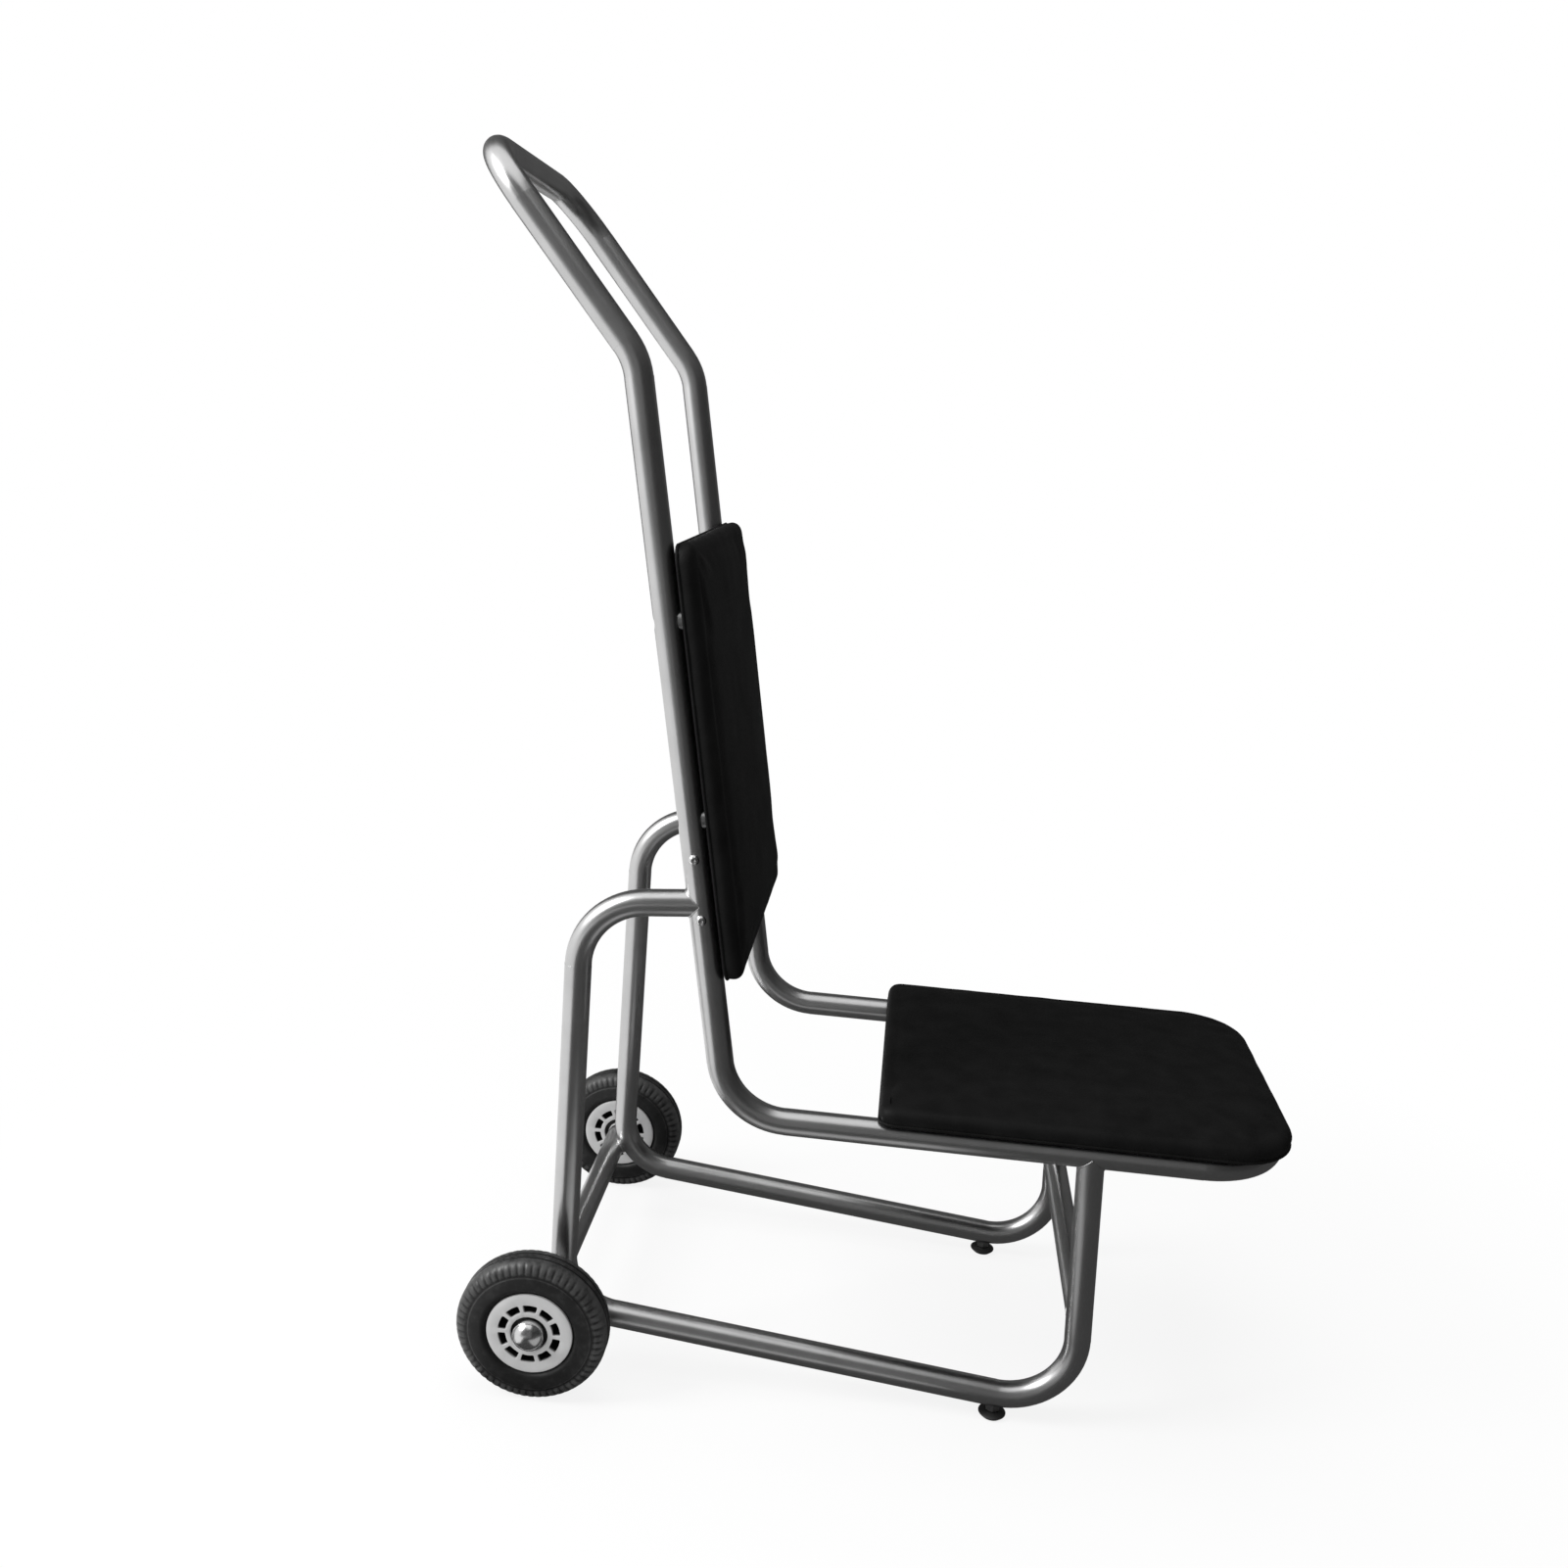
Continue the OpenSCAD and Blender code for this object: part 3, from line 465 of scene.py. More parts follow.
def tyre(side, s):
    """Tyre whose grooves on one side stand between those on the other."""
    half = tyre_rows()
    steps = len(LUG_STEPS)
    rows = [(*row, 0) for row in half]
    rows += [(r, -h, share, tone, steps // 2) for r, h, share, tone in reversed(half)]
    rows += [(r, k * h, 0, 0.0, 0) for k, ends in ((-1, TONGUE), (1, TONGUE[::-1])) for r, h in ends]
    normals = []
    for i in range(len(rows)):
        a, b = rows[max(i - 1, 0)], rows[min(i + 1, len(rows) - 1)]
        normals.append(Vector((a[1] - b[1], b[0] - a[0])).normalized())
    columns = LUGS * steps

    def groove(i, c):
        return rows[i][2] * LUG_STEPS[(c + rows[i][4]) % steps]

    def point(i, c):
        cut = LUG_DEPTH * groove(i, c)
        r, h = rows[i][0] - normals[i].x * cut, rows[i][1] - normals[i].y * cut
        return ring_point((r, h), 2 * math.pi * c / columns)

    bm = bmesh.new()
    tone = bm.verts.layers.float.new("tone")
    grid = revolve(bm, range(len(rows)), range(columns), point, on_axle(s, WHEEL_Y))
    for i, ring in enumerate(grid):
        for c, v in enumerate(ring):
            # Painted shade: the tone falls at the bottom of each groove
            v[tone] = rows[i][3] * (1 - GROOVE_SHADE * groove(i, c))
    piece(f"{side}_tyre_treaded", bm, RUBBER, f"{side}_wheel", (f"{side}_tyre",), crease=32.0)


SLOTS = 10
# Angles in degrees within one pitch; the slot lies between the first column and the last but one
SLOT_COLUMNS = (4.1, 7.5, 11.0, 14.5, 18.0, 21.5, 25.0, 28.5, 31.9, 36.0)
SLOT_MIDDLE, SLOT_HALF = 18.0, 13.9
SLOT_INNER, SLOT_OUTER, SLOT_DEPTH, SLOT_ROUND = 22.75, 30.25, 14.6, 1.6
# Tone at the floor of a slot, painted shade: so high that the walls are black a few millimetres down
SLOT_TONE = 3.5
# Painted shade at the floor of the groove around the hub
GROOVE_TONE = 0.9
RIM_FACE, HUB_FACE = 17.2, 18.2
GROOVE_IN, GROOVE_OUT, GROOVE_FLOOR = 13.0, 18.0, 11.3
EDGE_R = 0.45


def rim(side, s):
    """Moulded rim: slots in both faces, and a groove around the hub."""
    hub = [(9.0, HUB_FACE), (GROOVE_IN, HUB_FACE), (GROOVE_IN, GROOVE_FLOOR), (GROOVE_OUT, GROOVE_FLOOR)]
    face = [(r, RIM_FACE) for r in (GROOVE_OUT, SLOT_INNER, SLOT_OUTER, 36.5)]
    seat = [(40.2, 16.95), (41.4, 16.4), (41.4, 7.0), (45.4, 7.0)]
    half = hub + face + seat
    rows = half + [(r, -h) for r, h in reversed(half)]
    angles = [math.radians(360 / SLOTS * k + a) for k in range(SLOTS) for a in SLOT_COLUMNS]
    bm = bmesh.new()
    tone = bm.verts.layers.float.new("tone")

    def place(co):
        """Radius, angle from the middle of the nearest slot and height of a point."""
        a = math.degrees(math.atan2(co.y, co.x)) % (360 / SLOTS) - SLOT_MIDDLE
        return math.hypot(co.x, co.y) / MM, a, abs(co.z) / MM

    revolve(bm, rows, angles, ring_point, Matrix.Identity(4))
    bm.normal_update()
    pockets = []
    for f in bm.faces:
        r, a, h = place(f.calc_center_median())
        if SLOT_INNER < r < SLOT_OUTER and abs(a) < SLOT_HALF and abs(h - RIM_FACE) < 0.1:
            pockets.append(f)
    made = bmesh.ops.extrude_face_region(bm, geom=pockets)
    # Painted shade: the slot floors get a high tone, so that their walls darken
    for v in made["geom"]:
        if isinstance(v, bmesh.types.BMVert):
            v.co.z -= math.copysign(SLOT_DEPTH * MM, v.co.z)
            v[tone] = SLOT_TONE
    bmesh.ops.delete(bm, geom=pockets, context="FACES")
    # Painted shade on the floor of the groove around the hub
    for v in bm.verts:
        r, _, h = place(v.co)
        if h < GROOVE_FLOOR + 0.05 and GROOVE_IN - 0.1 < r < GROOVE_OUT + 0.1:
            v[tone] = GROOVE_TONE
    bmesh.ops.remove_doubles(bm, verts=bm.verts, dist=0.0001 * MM)
    bmesh.ops.recalc_face_normals(bm, faces=bm.faces)
    corners = []
    for e in bm.edges:
        along = e.verts[0].co - e.verts[1].co
        r, _, _ = place((e.verts[0].co + e.verts[1].co) / 2)
        upright = abs(along.z) > 0.9 * SLOT_DEPTH * MM and math.hypot(along.x, along.y) < 0.01 * MM
        if upright and SLOT_INNER - 0.1 < r < SLOT_OUTER + 0.1 and e.calc_face_angle(0.0) > math.radians(60):
            corners.append(e)
    rounded = {"profile": 0.5, "affect": "EDGES", "clamp_overlap": True}
    bmesh.ops.bevel(bm, geom=corners, offset=SLOT_ROUND * MM, segments=3, **rounded)
    sharp = [e for e in bm.edges if len(e.link_faces) == 2 and e.calc_face_angle(0.0) > math.radians(35)]
    bmesh.ops.bevel(bm, geom=sharp, offset=EDGE_R * MM, segments=2, **rounded)
    bmesh.ops.transform(bm, matrix=on_axle(s, WHEEL_Y), verts=bm.verts)
    piece(f"{side}_rim_moulded", bm, RIM, f"{side}_wheel", (f"{side}_rim",), crease=50.0)


for side, s in SIDES:
    tyre(side, s)
    rim(side, s)


def axle_caps():
    """Push-on caps on the axle ends: hollow domes with a rolled edge."""
    cap_y, cap_r, cap_h, wall, bore = 224.85, 15.0, 9.5, 1.2, 6.0
    lip, lip_out = 1.6, 1.1

    def dome(r, low, high):
        ball = (r * r + (high - low) ** 2) / (2 * (high - low))
        start = math.degrees(math.asin((ball - (high - low)) / ball))
        return arc(0.0, high - ball, ball, start, 90.0, 14)

    outer = [(bore, 0.0), (cap_r - 0.5, 0.0), (cap_r, 0.45), (cap_r, 1.1)]
    outer += [(cap_r - 0.45, lip), (cap_r - lip_out, lip + 0.1)]
    outer += dome(cap_r - lip_out, lip + 0.1, cap_h)[1:-1] + [(0.0, cap_h)]
    inner = dome(cap_r - wall - lip_out, wall, cap_h - wall)[::-1][1:]
    inner = [(0.0, cap_h - wall)] + inner + [(bore, wall)]
    bm = bmesh.new()
    for _, s in SIDES:
        lathe(bm, outer + inner, 72, on_axle(s, cap_y * MM))
    piece("axle_dome_caps", bm, PLATED, "frame", ("axle_caps",), crease=35.0)


axle_caps()


# Screws at the sleeves


def sleeve_screws():
    """Button heads with a hexagon socket, on the outer sides of the posts."""
    head_r, head_h, socket, deep = 5.0, 3.0, 3.2, 1.5
    shank_r, shank_in, rim_r, rim_h, mouth = 2.5, -4.5, 2.15, 2.78, 2.66
    from_joint = 28.8 * MM
    joint = (JOINT - CORNER).length
    sphere = (head_r * head_r + head_h * head_h) / (2 * head_h)
    heights = (0.0, 0.5, 1.1, 1.7, 2.2, 2.6)
    dome = [(math.sqrt(max(sphere * sphere - (h - head_h + sphere) ** 2, 0.0)), h) for h in heights]
    bm = bmesh.new()
    for _, s in SIDES:
        for row in (-1, 1):
            place = Matrix.Translation((0, s * HALF_C, joint + row * from_joint)) @ outward(s)
            any_turn = Matrix.Rotation(0.35 + row * 0.6 + s, 4, "Z")

            def point(step, a):
                kind, value = step
                r, h = (hexagon_radius(a, socket), value) if kind == "hex" else value
                return ring_point((r, h + TUBE_R / MM), a)

            rings = [(shank_r, shank_in), (shank_r, 0.0), *dome, (rim_r, rim_h)]
            steps = [("ring", p) for p in rings] + [("hex", mouth), ("hex", mouth - deep)]
            steps += [("ring", (0.0, mouth - deep - 0.3)), ("ring", (0.0, shank_in))]
            revolve(bm, steps, turns(48), point, POST_FRAME @ place @ any_turn)
    piece("sleeve_button_screws", bm, PLATED, "frame", ("sleeve_screws",), crease=30.0)


sleeve_screws()


# Feet

STEM_PITCH = 1.25
STEM_STEPS = 24
NUT_FLATS = 13.0
NUT_LOW = 7.2
NUT_BORE_R = 4.05
# Rise of a nut into the weld, and slope of the chamfer on its corners
NUT_LAP = 0.12
NUT_CHAMFER = 0.58


def foot_nuts():
    """Hexagon weld nuts whose tops follow the underside of the base rail: rows with no height end there."""
    tube_r = TUBE_R / MM
    bm = bmesh.new()
    for _, s in SIDES:
        base = Matrix.Translation((FOOT.x + SHIFT_X, s * HALF_C, 0))

        def point(row, a):
            kind, h = row
            r = {"bore": NUT_BORE_R, "hex": hexagon_radius(a, NUT_FLATS), "ring": NUT_FLATS / 2 * 0.97}[kind]
            if h is None:
                aside = r * math.sin(a)
                h = FOOT.y / MM - math.sqrt(tube_r ** 2 - aside ** 2) + NUT_LAP
            elif kind == "hex":
                h += max(0.0, r - NUT_FLATS / 2) * NUT_CHAMFER
            return ring_point((r, h), a)

        rows = [("bore", NUT_LOW), ("ring", NUT_LOW), ("hex", NUT_LOW + 0.1), ("hex", None), ("bore", None)]
        revolve(bm, rows, turns(72), point, base)
    piece("foot_weld_nuts", bm, PLAIN, "frame", ("foot_nuts",), crease=28.0)


def foot(side, s):
    """Threaded stem on its plate, and the glide that holds the plate."""
    base = Matrix.Translation((FOOT.x + SHIFT_X, s * HALF_C, 0))
    low, high = 4.2, 29.6
    bm = bmesh.new()
    plate = [(0.0, 2.0), (5.7, 2.0), (6.0, 2.3), (6.0, 3.7), (5.7, 4.0), (3.4, 4.0), (3.3, low), (0.0, low)]
    lathe(bm, plate, 48, base)
    count = int((high - low) / STEM_PITCH * STEM_STEPS)
    shape = ((3.35, 0.0), (3.35, 0.14), (3.95, 0.44), (3.95, 0.56), (3.35, 0.86), (3.35, 1.0))
    rows = []
    for i in range(count + 1):
        a = 2 * math.pi * i / STEM_STEPS
        start = low + STEM_PITCH * (i / STEM_STEPS - 1)
        row = []
        for r, share in shape:
            h = min(max(start + share * STEM_PITCH, low), high)
            row.append(bm.verts.new(base @ Vector(ring_point((r, h), a))))
        rows.append(row)
    for a, b in zip(rows, rows[1:]):
        for k in range(len(shape) - 1):
            bm.faces.new((a[k], b[k], b[k + 1], a[k + 1]))
    lathe(bm, [(0.0, high - 0.4), (3.36, high - 0.4), (3.2, high + 0.3), (0.0, high + 0.3)], 48, base)
    piece(f"{side}_stem_threaded", bm, PLATED, f"{side}_stem", (f"{side}_foot_stem",), crease=40.0)
    sole = [(0.0, 0.0), (9.7, 0.0), (10.3, 0.2), (10.8, 0.7), (12.9, 2.75), (13.35, 3.3), (13.4, 3.7)]
    top = [(13.0, 4.1), (10.6, 5.15), (8.4, 6.1), (7.7, 6.4), (7.1, 6.5), (4.6, 6.5), (4.1, 6.2)]
    pocket = [(4.1, 4.1), (6.1, 4.1), (6.1, 1.9), (0.0, 1.9)]
    bm = bmesh.new()
    lathe(bm, sole + top + pocket, 64, base)
    piece(f"{side}_glide_moulded", bm, GLIDE, f"{side}_glide", (f"{side}_foot_glide",), crease=30.0)


foot_nuts()
for side, s in SIDES:
    foot(side, s)


# Pads: sizes in millimetres

PAD_HALF = 165.0
PAD_EDGE = 19.0
PAD_CROWN = 6.0
PAD_ROUND = 10.0
PAD_DRAW = 2.0
PAD_SIDE = 0.4
POCKET_IN, POCKET_LOW, POCKET_HIGH = 3.6, 0.4, 8.4
CELL = 6.0
SMALLER = 1.2
PRESSURE = 4.0
SIM_FRAMES = 20
SWELL_CAP = 3.2
# Rings of points from the pocket outward: with a sharp edge, and still while the cover swells
POCKET_RINGS = 2
HELD_RINGS = 7


def outline_side(straight, r_start, r_end, start, direction):
    """Points and outward normals from the middle of one corner to the middle of the next, evenly spaced."""
    d = Vector(direction)
    n = Vector((d.y, -d.x))
    a, b = r_start * math.pi / 4, r_end * math.pi / 4
    total = a + straight + b
    count = max(8, round(total / CELL))
    made = []
    for i in range(count):
        t = total * i / count
        if t < a:
            turn = math.pi / 4 - t / r_start
            normal = n * math.cos(turn) - d * math.sin(turn)
            p = Vector(start) - n * r_start + normal * r_start
        elif t <= a + straight:
            normal, p = n, Vector(start) + d * (t - a)
        else:
            turn = (t - a - straight) / r_end
            normal = n * math.cos(turn) + d * math.sin(turn)
            p = Vector(start) + d * straight - n * r_end + normal * r_end
        made.append((p, normal))
    return made


def outline(length, r0, r1):
    """Outline of a pad as four sides of (point, outward normal), in millimetres."""
    w = PAD_HALF
    along = length - r0 - r1
    return [
        outline_side(along, r0, r1, (r0, -w), (1, 0)),
        outline_side(2 * w - 2 * r1, r1, r1, (length, r1 - w), (0, 1)),
        outline_side(along, r1, r0, (length - r1, w), (-1, 0)),
        outline_side(2 * w - 2 * r0, r0, r0, (0, w - r0), (0, -1)),
    ]


def pad_form(bm, length, r0, r1, matrix):
    """Closed cushion of evenly spaced quads. Returns the vertices that the board holds still."""
    sides = outline(length, r0, r1)
    loop = [q for side in sides for q in side]
    n = len(loop)
    low = PAD_EDGE - PAD_ROUND
    levels = [(POCKET_IN, POCKET_HIGH), (POCKET_IN, POCKET_LOW), (PAD_DRAW, POCKET_LOW)]
    levels += [(1.5, 2.4), (1.0, 4.6), (0.6, 6.8), (PAD_SIDE, low)]
    for a in (math.radians(k) for k in (18, 36, 54, 72, 90)):
        levels.append((PAD_SIDE + PAD_ROUND * (1 - math.cos(a)), low + (PAD_ROUND - SMALLER) * math.sin(a)))

    def put(p, z):
        return bm.verts.new(matrix @ (Vector((p.x, p.y, z)) * MM))

    rings = [[put(p - normal * inset, z) for p, normal in loop] for inset, z in levels]
    for a, b in zip(rings, rings[1:]):
        for i in range(n):
            bm.faces.new((a[i], a[(i + 1) % n], b[(i + 1) % n], b[i]))
    crease = bm.edges.layers.float.new("crease_edge")
    for ring in rings[:POCKET_RINGS]:
        for i in range(n):
            bm.edges.get((ring[i], ring[(i + 1) % n]))[crease] = 1.0
    floor = put(Vector((length / 2, 0)), POCKET_HIGH)
    for i in range(n):
        bm.faces.new((floor, rings[0][(i + 1) % n], rings[0][i]))
    long, short = len(sides[0]), len(sides[1])
    inset, edge = levels[-1]
    flat = [p - normal * inset for p, normal in loop]
    top = rings[-1]

    def rim_index(i, j):
        if j == 0:
            return i
        if i == long:
            return long + j
        if j == short:
            return long + short + long - i
        return (2 * long + 2 * short - j) % n

    grid = {}
    for i in range(long + 1):
        for j in range(short + 1):
            if i in (0, long) or j in (0, short):
                grid[i, j] = top[rim_index(i, j)]
                continue
            u, v = i / long, j / short
            south, north, west, east = (flat[rim_index(*k)] for k in ((i, 0), (i, short), (0, j), (long, j)))
            corners = [flat[rim_index(*k)] for k in ((0, 0), (long, 0), (0, short), (long, short))]
            p = south * (1 - v) + north * v + west * (1 - u) + east * u
            p -= corners[0] * (1 - u) * (1 - v) + corners[1] * u * (1 - v)
            p -= corners[2] * (1 - u) * v + corners[3] * u * v
            dx, dy = (p.x - length / 2) / (length / 2 - PAD_ROUND), p.y / (PAD_HALF - PAD_ROUND)
            grid[i, j] = put(p, edge + (PAD_CROWN - SMALLER) * max(0.0, 1 - dx * dx) * max(0.0, 1 - dy * dy))
    for i in range(long):
        for j in range(short):
            bm.faces.new((grid[i, j], grid[i + 1, j], grid[i + 1, j + 1], grid[i, j + 1]))
    return [floor] + [v for ring in rings[:HELD_RINGS] for v in ring]


def inflate(obj, held):
    """Swells the cover over its foam by a short cloth run and keeps its outward movement, capped."""
    mesh = obj.data
    rest = [v.co.copy() for v in mesh.vertices]
    normals = [v.normal.copy() for v in mesh.vertices]
    group = obj.vertex_groups.new(name="held")
    group.add(held, 1.0, "REPLACE")
    cloth = obj.modifiers.new("cover", "CLOTH")
    cloth.settings.vertex_group_mass = "held"
    cloth.settings.use_pressure = True
    cloth.settings.uniform_pressure_force = PRESSURE
    cloth.settings.quality = 6
    cloth.settings.tension_stiffness = 25
    cloth.settings.compression_stiffness = 25
    cloth.settings.bending_stiffness = 1.5
    cloth.settings.effector_weights.gravity = 0
    cloth.point_cache.frame_start = 1
    cloth.point_cache.frame_end = SIM_FRAMES
    for f in range(1, SIM_FRAMES + 1):
        scene.frame_set(f)
    done = obj.evaluated_get(bpy.context.evaluated_depsgraph_get()).to_mesh()
    moved = [v.co.copy() for v in done.vertices]
    obj.modifiers.remove(cloth)
    scene.frame_set(1)
    for v, a, b, normal in zip(mesh.vertices, rest, moved, normals):
        step = b - a
        step -= normal * min(0.0, step.dot(normal))
        far = step.length
        v.co = a + step * min(1.0, SWELL_CAP * MM / far) if far > 0 else a
    obj.vertex_groups.clear()


def clamp(x):
    """Keeps a share between none and all."""
    return max(0.0, min(1.0, x))


# Corners rounder than this have more and shallower pleats
TIGHT_R = 30.0


def crumple(obj, matrix, length, r0, r1):
    """Pleats where the cover is gathered round the corners, and slight pulls along the edges."""
    back = matrix.inverted()
    corners = [(Vector((r0, s * (PAD_HALF - r0))), r0, -1, s) for s in (-1, 1)]
    corners += [(Vector((length - r1, s * (PAD_HALF - r1))), r1, 1, s) for s in (-1, 1)]
    mesh = obj.data
    normals = [v.normal.copy() for v in mesh.vertices]
    for v, normal in zip(mesh.vertices, normals):
        p = back @ v.co / MM
        if p.z < 1.2 or (back.to_3x3() @ normal).z < -0.5:
            continue
        inset = min(p.x, length - p.x, PAD_HALF - abs(p.y))
        edge = math.exp(-max(inset, 0.0) / 16.0)
        pull = 0.35 * noise.noise(Vector((p.x / 26, p.y / 26, 3.1))) * (0.25 + edge)
        pull += 0.22 * noise.noise(Vector((p.x / 9, p.y / 9, 7.7))) * edge
        for c, r, sx, sy in corners:
            d = Vector(((p.x - c.x) * sx, (p.y - c.y) * sy))
            if d.x <= 0 or d.y <= 0:
                continue
            near = d.length / r
            a = math.degrees(math.atan2(d.y, d.x))
            folds, deep = (2, 1.1) if r < TIGHT_R else (5, 0.6)
            depth = deep * clamp((near - 0.55) / 0.45) * clamp((20.0 - p.z) / 12.0)
            for k in range(folds):
                at = 90.0 * (k + 0.5) / folds + 4 * math.sin(5 * k + sx + 2 * sy)
                spread = 90.0 / folds * 0.16
                pull -= depth * math.exp(-((a - at) / spread) ** 2)
                pull += 0.45 * depth * math.exp(-((a - at - 2.4 * spread) / (1.4 * spread)) ** 2)
        v.co += normal * pull * MM


def pad(name, node, length, r0, r1, matrix):
    """Padded cover of one pad: its length, the corner radii at its two ends, and its frame."""
    bm = bmesh.new()
    fixed = pad_form(bm, length, r0, r1, matrix)
    bm.verts.index_update()
    held = [v.index for v in fixed]
    bmesh.ops.recalc_face_normals(bm, faces=bm.faces)
    mesh = bpy.data.meshes.new(name)
    bm.to_mesh(mesh)
    bm.free()
    obj = bpy.data.objects.new(name, mesh)
    scene.collection.objects.link(obj)
    mesh.materials.append(VINYL)
    mesh.polygons.foreach_set("use_smooth", [True] * len(mesh.polygons))
    inflate(obj, held)
    crumple(obj, matrix, length, r0, r1)
    mesh.set_sharp_from_angle(angle=math.radians(60))
    finer = obj.modifiers.new("finer", "SUBSURF")
    finer.levels = finer.render_levels = 1
    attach(obj, "frame")
    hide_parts(node)


def piping(name, length, r0, r1, matrix):
    """Covered welt cord sewn in along the rear edge of a pad."""
    loop = [q for side in outline(length, r0, r1) for q in side]
    r, inset, high, steps = 1.6, 1.75, 2.1, 12
    up = Vector((0, 0, 1))
    bm = bmesh.new()
    rings = []
    for p, normal in loop:
        middle = Vector((*(p - normal * inset), high))
        out = Vector((*normal, 0))
        ring = [middle + r * (math.cos(a) * out + math.sin(a) * up) for a in turns(steps)]
        rings.append([bm.verts.new(matrix @ (q * MM)) for q in ring])
    for a, b in zip(rings, rings[1:] + rings[:1]):
        for k in range(steps):
            bm.faces.new((a[k], b[k], b[(k + 1) % steps], a[(k + 1) % steps]))
    piece(name, bm, VINYL, "frame", crease=80.0)


BACK_PAD = POST_FRAME @ Matrix.Translation((14.7 * MM, 0, 537 * MM)) @ Matrix.Rotation(math.pi / 2, 4, "Y")
SEAT_PAD = RAIL_FRAME @ Matrix.Translation((142 * MM, 0, 12.75 * MM))
BACK_OUTLINE = (401.0, 16.0, 16.0)
SEAT_OUTLINE = (389.0, 15.0, 64.0)
pad("back_pad_cover", "back_cushion", *BACK_OUTLINE, BACK_PAD)
pad("seat_pad_cover", "seat_cushion", *SEAT_OUTLINE, SEAT_PAD)
piping("back_pad_piping", *BACK_OUTLINE, BACK_PAD)
piping("seat_pad_piping", *SEAT_OUTLINE, SEAT_PAD)


# Studio: pale floor, white backdrop, soft light and dark cards that the polished tubes mirror


def seen_directly(tree):
    """True for camera, glossy and transmission rays."""
    path = tree.nodes.new("ShaderNodeLightPath")
    total = path.outputs["Is Camera Ray"]
    for name in ("Is Glossy Ray", "Is Transmission Ray"):
        add = tree.nodes.new("ShaderNodeMath")
        add.operation = "MAXIMUM"
        tree.links.new(total, add.inputs[0])
        tree.links.new(path.outputs[name], add.inputs[1])
        total = add.outputs[0]
    return total


WORLD_LIGHT = 0.42


def make_world():
    """Even light, and a white that the camera and the reflections see."""
    world = bpy.data.worlds.new("studio")
    scene.world = world
    world.use_nodes = True
    tree = world.node_tree
    light = tree.nodes["Background"]
    light.inputs["Color"].default_value = (1, 1, 1, 1)
    light.inputs["Strength"].default_value = WORLD_LIGHT
    white = tree.nodes.new("ShaderNodeBackground")
    white.inputs["Color"].default_value = (1, 1, 1, 1)
    white.inputs["Strength"].default_value = 1.0
    mix = tree.nodes.new("ShaderNodeMixShader")
    tree.links.new(seen_directly(tree), mix.inputs["Fac"])
    tree.links.new(light.outputs[0], mix.inputs[1])
    tree.links.new(white.outputs[0], mix.inputs[2])
    tree.links.new(mix.outputs[0], tree.nodes["World Output"].inputs["Surface"])


# Share of plain white in the floor beside the trolley; it grows to the whole further off
FLOOR_WHITE = 0.86
FLOOR_REACH = 30.0
FLOOR_DROP = 0.02 * MM


def make_floor():
    """White floor that keeps a faint shadow around the trolley and meets the backdrop without a line."""
    mesh = bpy.data.meshes.new("floor")
    corners = [(x * FLOOR_REACH, y * FLOOR_REACH, 0) for x, y in ((-1, -1), (1, -1), (1, 1), (-1, 1))]
    mesh.from_pydata(corners, [], [(0, 1, 2, 3)])
    obj = bpy.data.objects.new("floor", mesh)
    scene.collection.objects.link(obj)
    obj.location.z = -FLOOR_DROP
    mat = bpy.data.materials.new("floor_white")
    mat.use_nodes = True
    tree = mat.node_tree
    tree.nodes.remove(tree.nodes["Principled BSDF"])
    lit = tree.nodes.new("ShaderNodeBsdfDiffuse")
    lit.inputs["Color"].default_value = (0.9, 0.9, 0.9, 1)
    white = tree.nodes.new("ShaderNodeEmission")
    white.inputs["Strength"].default_value = 1.0
    place = tree.nodes.new("ShaderNodeTexCoord")
    far = tree.nodes.new("ShaderNodeVectorMath")
    far.operation = "LENGTH"
    tree.links.new(place.outputs["Object"], far.inputs[0])
    fade = tree.nodes.new("ShaderNodeMapRange")
    for key, value in {"From Min": 0.35, "From Max": 1.1, "To Min": FLOOR_WHITE, "To Max": 1.0}.items():
        fade.inputs[key].default_value = value
    tree.links.new(far.outputs["Value"], fade.inputs["Value"])
    share = tree.nodes.new("ShaderNodeMath")
    share.operation = "MULTIPLY"
    tree.links.new(seen_directly(tree), share.inputs[0])
    tree.links.new(fade.outputs["Result"], share.inputs[1])
    mix = tree.nodes.new("ShaderNodeMixShader")
    tree.links.new(share.outputs[0], mix.inputs["Fac"])
    tree.links.new(lit.outputs[0], mix.inputs[1])
    tree.links.new(white.outputs[0], mix.inputs[2])
    tree.links.new(mix.outputs[0], tree.nodes["Material Output"].inputs["Surface"])
    mat.cycles.emission_sampling = "NONE"
    mesh.materials.append(mat)


def flag(name, grey, points, faces):
    """Grey card that only reflections show: a glowing sheet, no lamp, that paints a fixed reflection into
    shiny parts.
    """
    mesh = bpy.data.meshes.new(name)
    mesh.from_pydata(points, [], faces)
    obj = bpy.data.objects.new(name, mesh)
    scene.collection.objects.link(obj)
    mat = bpy.data.materials.new(name)
    mat.use_nodes = True
    tree = mat.node_tree
    tree.nodes.remove(tree.nodes["Principled BSDF"])
    tone = tree.nodes.new("ShaderNodeEmission")
    tone.inputs["Strength"].default_value = grey
    tree.links.new(tone.outputs[0], tree.nodes["Material Output"].inputs["Surface"])
    mat.cycles.emission_sampling = "NONE"
    mesh.materials.append(mat)
    obj.visible_camera = False
    obj.visible_diffuse = False
    obj.visible_shadow = False
    obj.visible_transmission = False


def card(name, grey, start, end, low, high):
    """Curved card between two directions in degrees; low and high are (distance, height)."""
    steps = 12
    points = []
    for i in range(steps + 1):
        a = math.radians(start + (end - start) * i / steps)
        points += [(r * math.cos(a), r * math.sin(a), h) for r, h in (low, high)]
    flag(name, grey, points, [(2 * i, 2 * i + 2, 2 * i + 3, 2 * i + 1) for i in range(steps)])


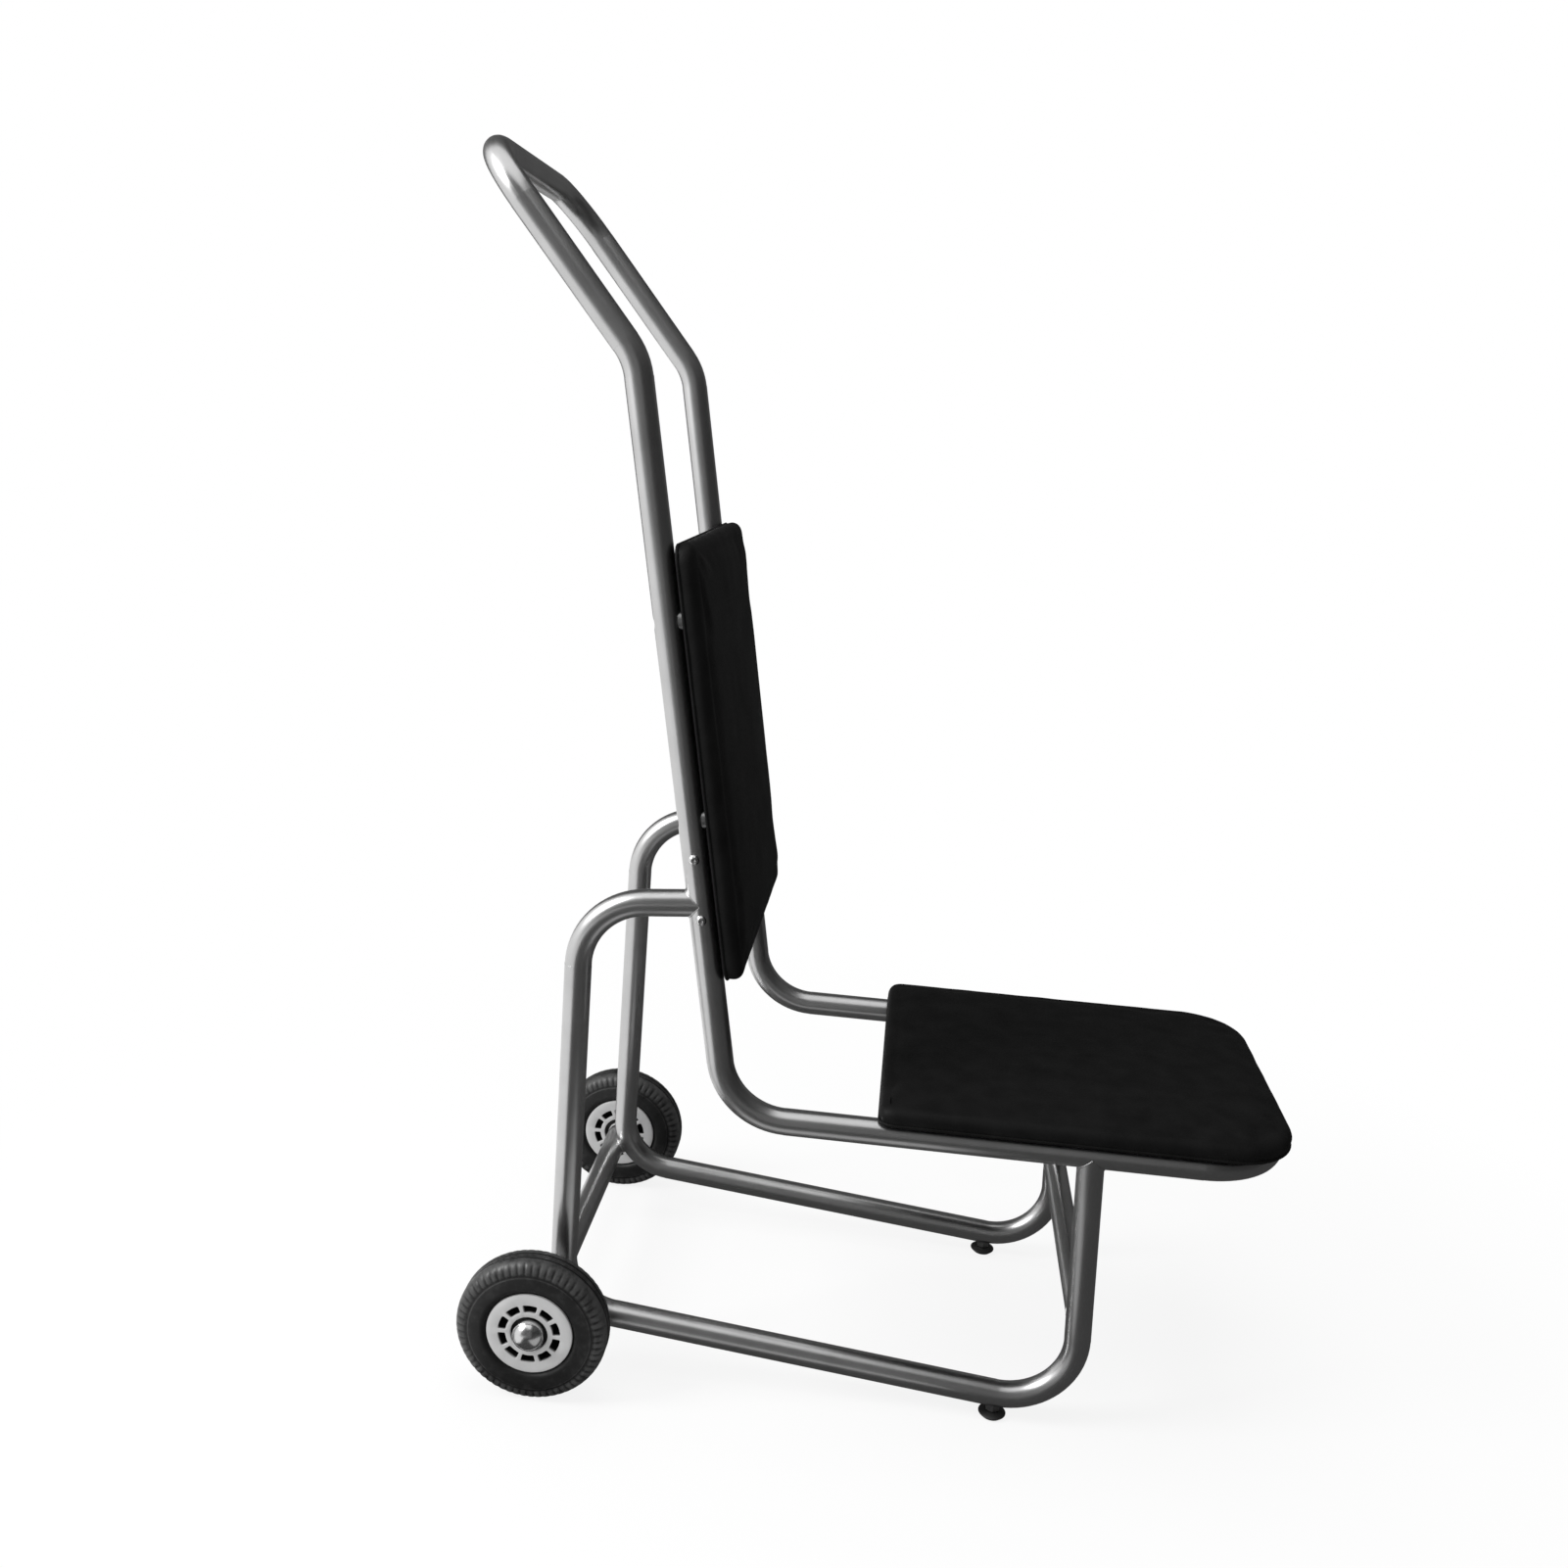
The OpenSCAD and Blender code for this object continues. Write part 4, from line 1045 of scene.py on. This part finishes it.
def lamp(name, power, size, place, target, mirrored):
    """Area lamp aimed at target; mirrored tells whether reflections show it."""
    data = bpy.data.lights.new(name, "AREA")
    data.energy = power
    data.shape = "RECTANGLE"
    data.size, data.size_y = size
    obj = bpy.data.objects.new(name, data)
    scene.collection.objects.link(obj)
    obj.location = place
    obj.rotation_mode = "QUATERNION"
    obj.rotation_quaternion = (Vector(target) - Vector(place)).to_track_quat("-Z", "Y")
    obj.visible_glossy = mirrored


make_world()
make_floor()
CARD_FOOT, CARD_KNEE, CARD_HEAD, CARD_TOP = (3.4, 0.0), (3.4, 0.5), (3.4, 2.6), (1.5, 4.3)
card("card_front_left_low", 0.45, 222, 258, CARD_FOOT, CARD_KNEE)
card("card_front_left", 0.12, 222, 258, CARD_KNEE, CARD_HEAD)
card("card_front", 0.16, 258, 290, CARD_FOOT, CARD_HEAD)
card("card_front_high", 0.1, 222, 290, CARD_HEAD, (2.6, 3.4))
card("card_right", 0.045, 290, 400, CARD_FOOT, CARD_HEAD)
card("card_right_high", 0.08, 290, 400, CARD_HEAD, (0.8, 4.6))
card("card_behind", 0.1, 40, 150, CARD_FOOT, CARD_HEAD)
card("card_behind_high", 0.06, 40, 155, CARD_HEAD, CARD_TOP)
# Bright card overhead
TOP_CARD = ((-1.6, -1.2), (0.5, -1.2), (0.5, 0.6), (-1.6, 0.6))
flag("card_overhead", 1.15, [(x, y, 2.8) for x, y in TOP_CARD], [tuple(range(len(TOP_CARD)))])
# Dark floor in reflections: all but the part to the left of the wheels
DARK_FLOOR = ((-0.36, 1.2), (-0.36, -0.3), (-1.6, -3.3), (3.3, -3.3), (3.3, 3.3), (-0.6, 3.3))
flag("card_floor", 0.07, [(x, y, 0.5 * MM) for x, y in DARK_FLOOR], [tuple(range(len(DARK_FLOOR)))])
# Light patch of floor that the near front leg mirrors: a glowing sheet that paints a highlight streak into
# that leg
PATCH = ((-0.25, -0.5), (0.12, -0.5), (0.12, -0.24), (-0.25, -0.24))
flag("card_patch", 0.5, [(x, y, 0.6 * MM) for x, y in PATCH], [tuple(range(len(PATCH)))])
lamp("key", 60, (0.9, 1.3), (-2.3, -1.0, 2.0), (0, 0, 0.45), True)
lamp("top", 30, (1.8, 1.8), (-0.3, 0.0, 2.9), (0, 0, 0.4), False)

# Camera: fitted to the photograph
CAMERA_AT = (0.00172, -1.40442, 0.92562)
CAMERA_RIGHT = (0.9919, 0.0996, 0.0791)
CAMERA_UP = (-0.1006, 0.2337, 0.9671)
FOCAL_PX, IMAGE_PX, SENSOR = 1488.37, 1601, 36.0

right = Vector(CAMERA_RIGHT).normalized()
up = (Vector(CAMERA_UP) - right * right.dot(Vector(CAMERA_UP))).normalized()
away = right.cross(up)
data = bpy.data.cameras.new("camera")
data.sensor_width = SENSOR
data.lens = FOCAL_PX / IMAGE_PX * SENSOR
data.clip_start, data.clip_end = 0.05, 100.0
camera = bpy.data.objects.new("camera", data)
scene.collection.objects.link(camera)
camera.matrix_world = Matrix.Translation(CAMERA_AT) @ Matrix((right, up, away)).transposed().to_4x4()
scene.camera = camera

bpy.context.view_layer.update()
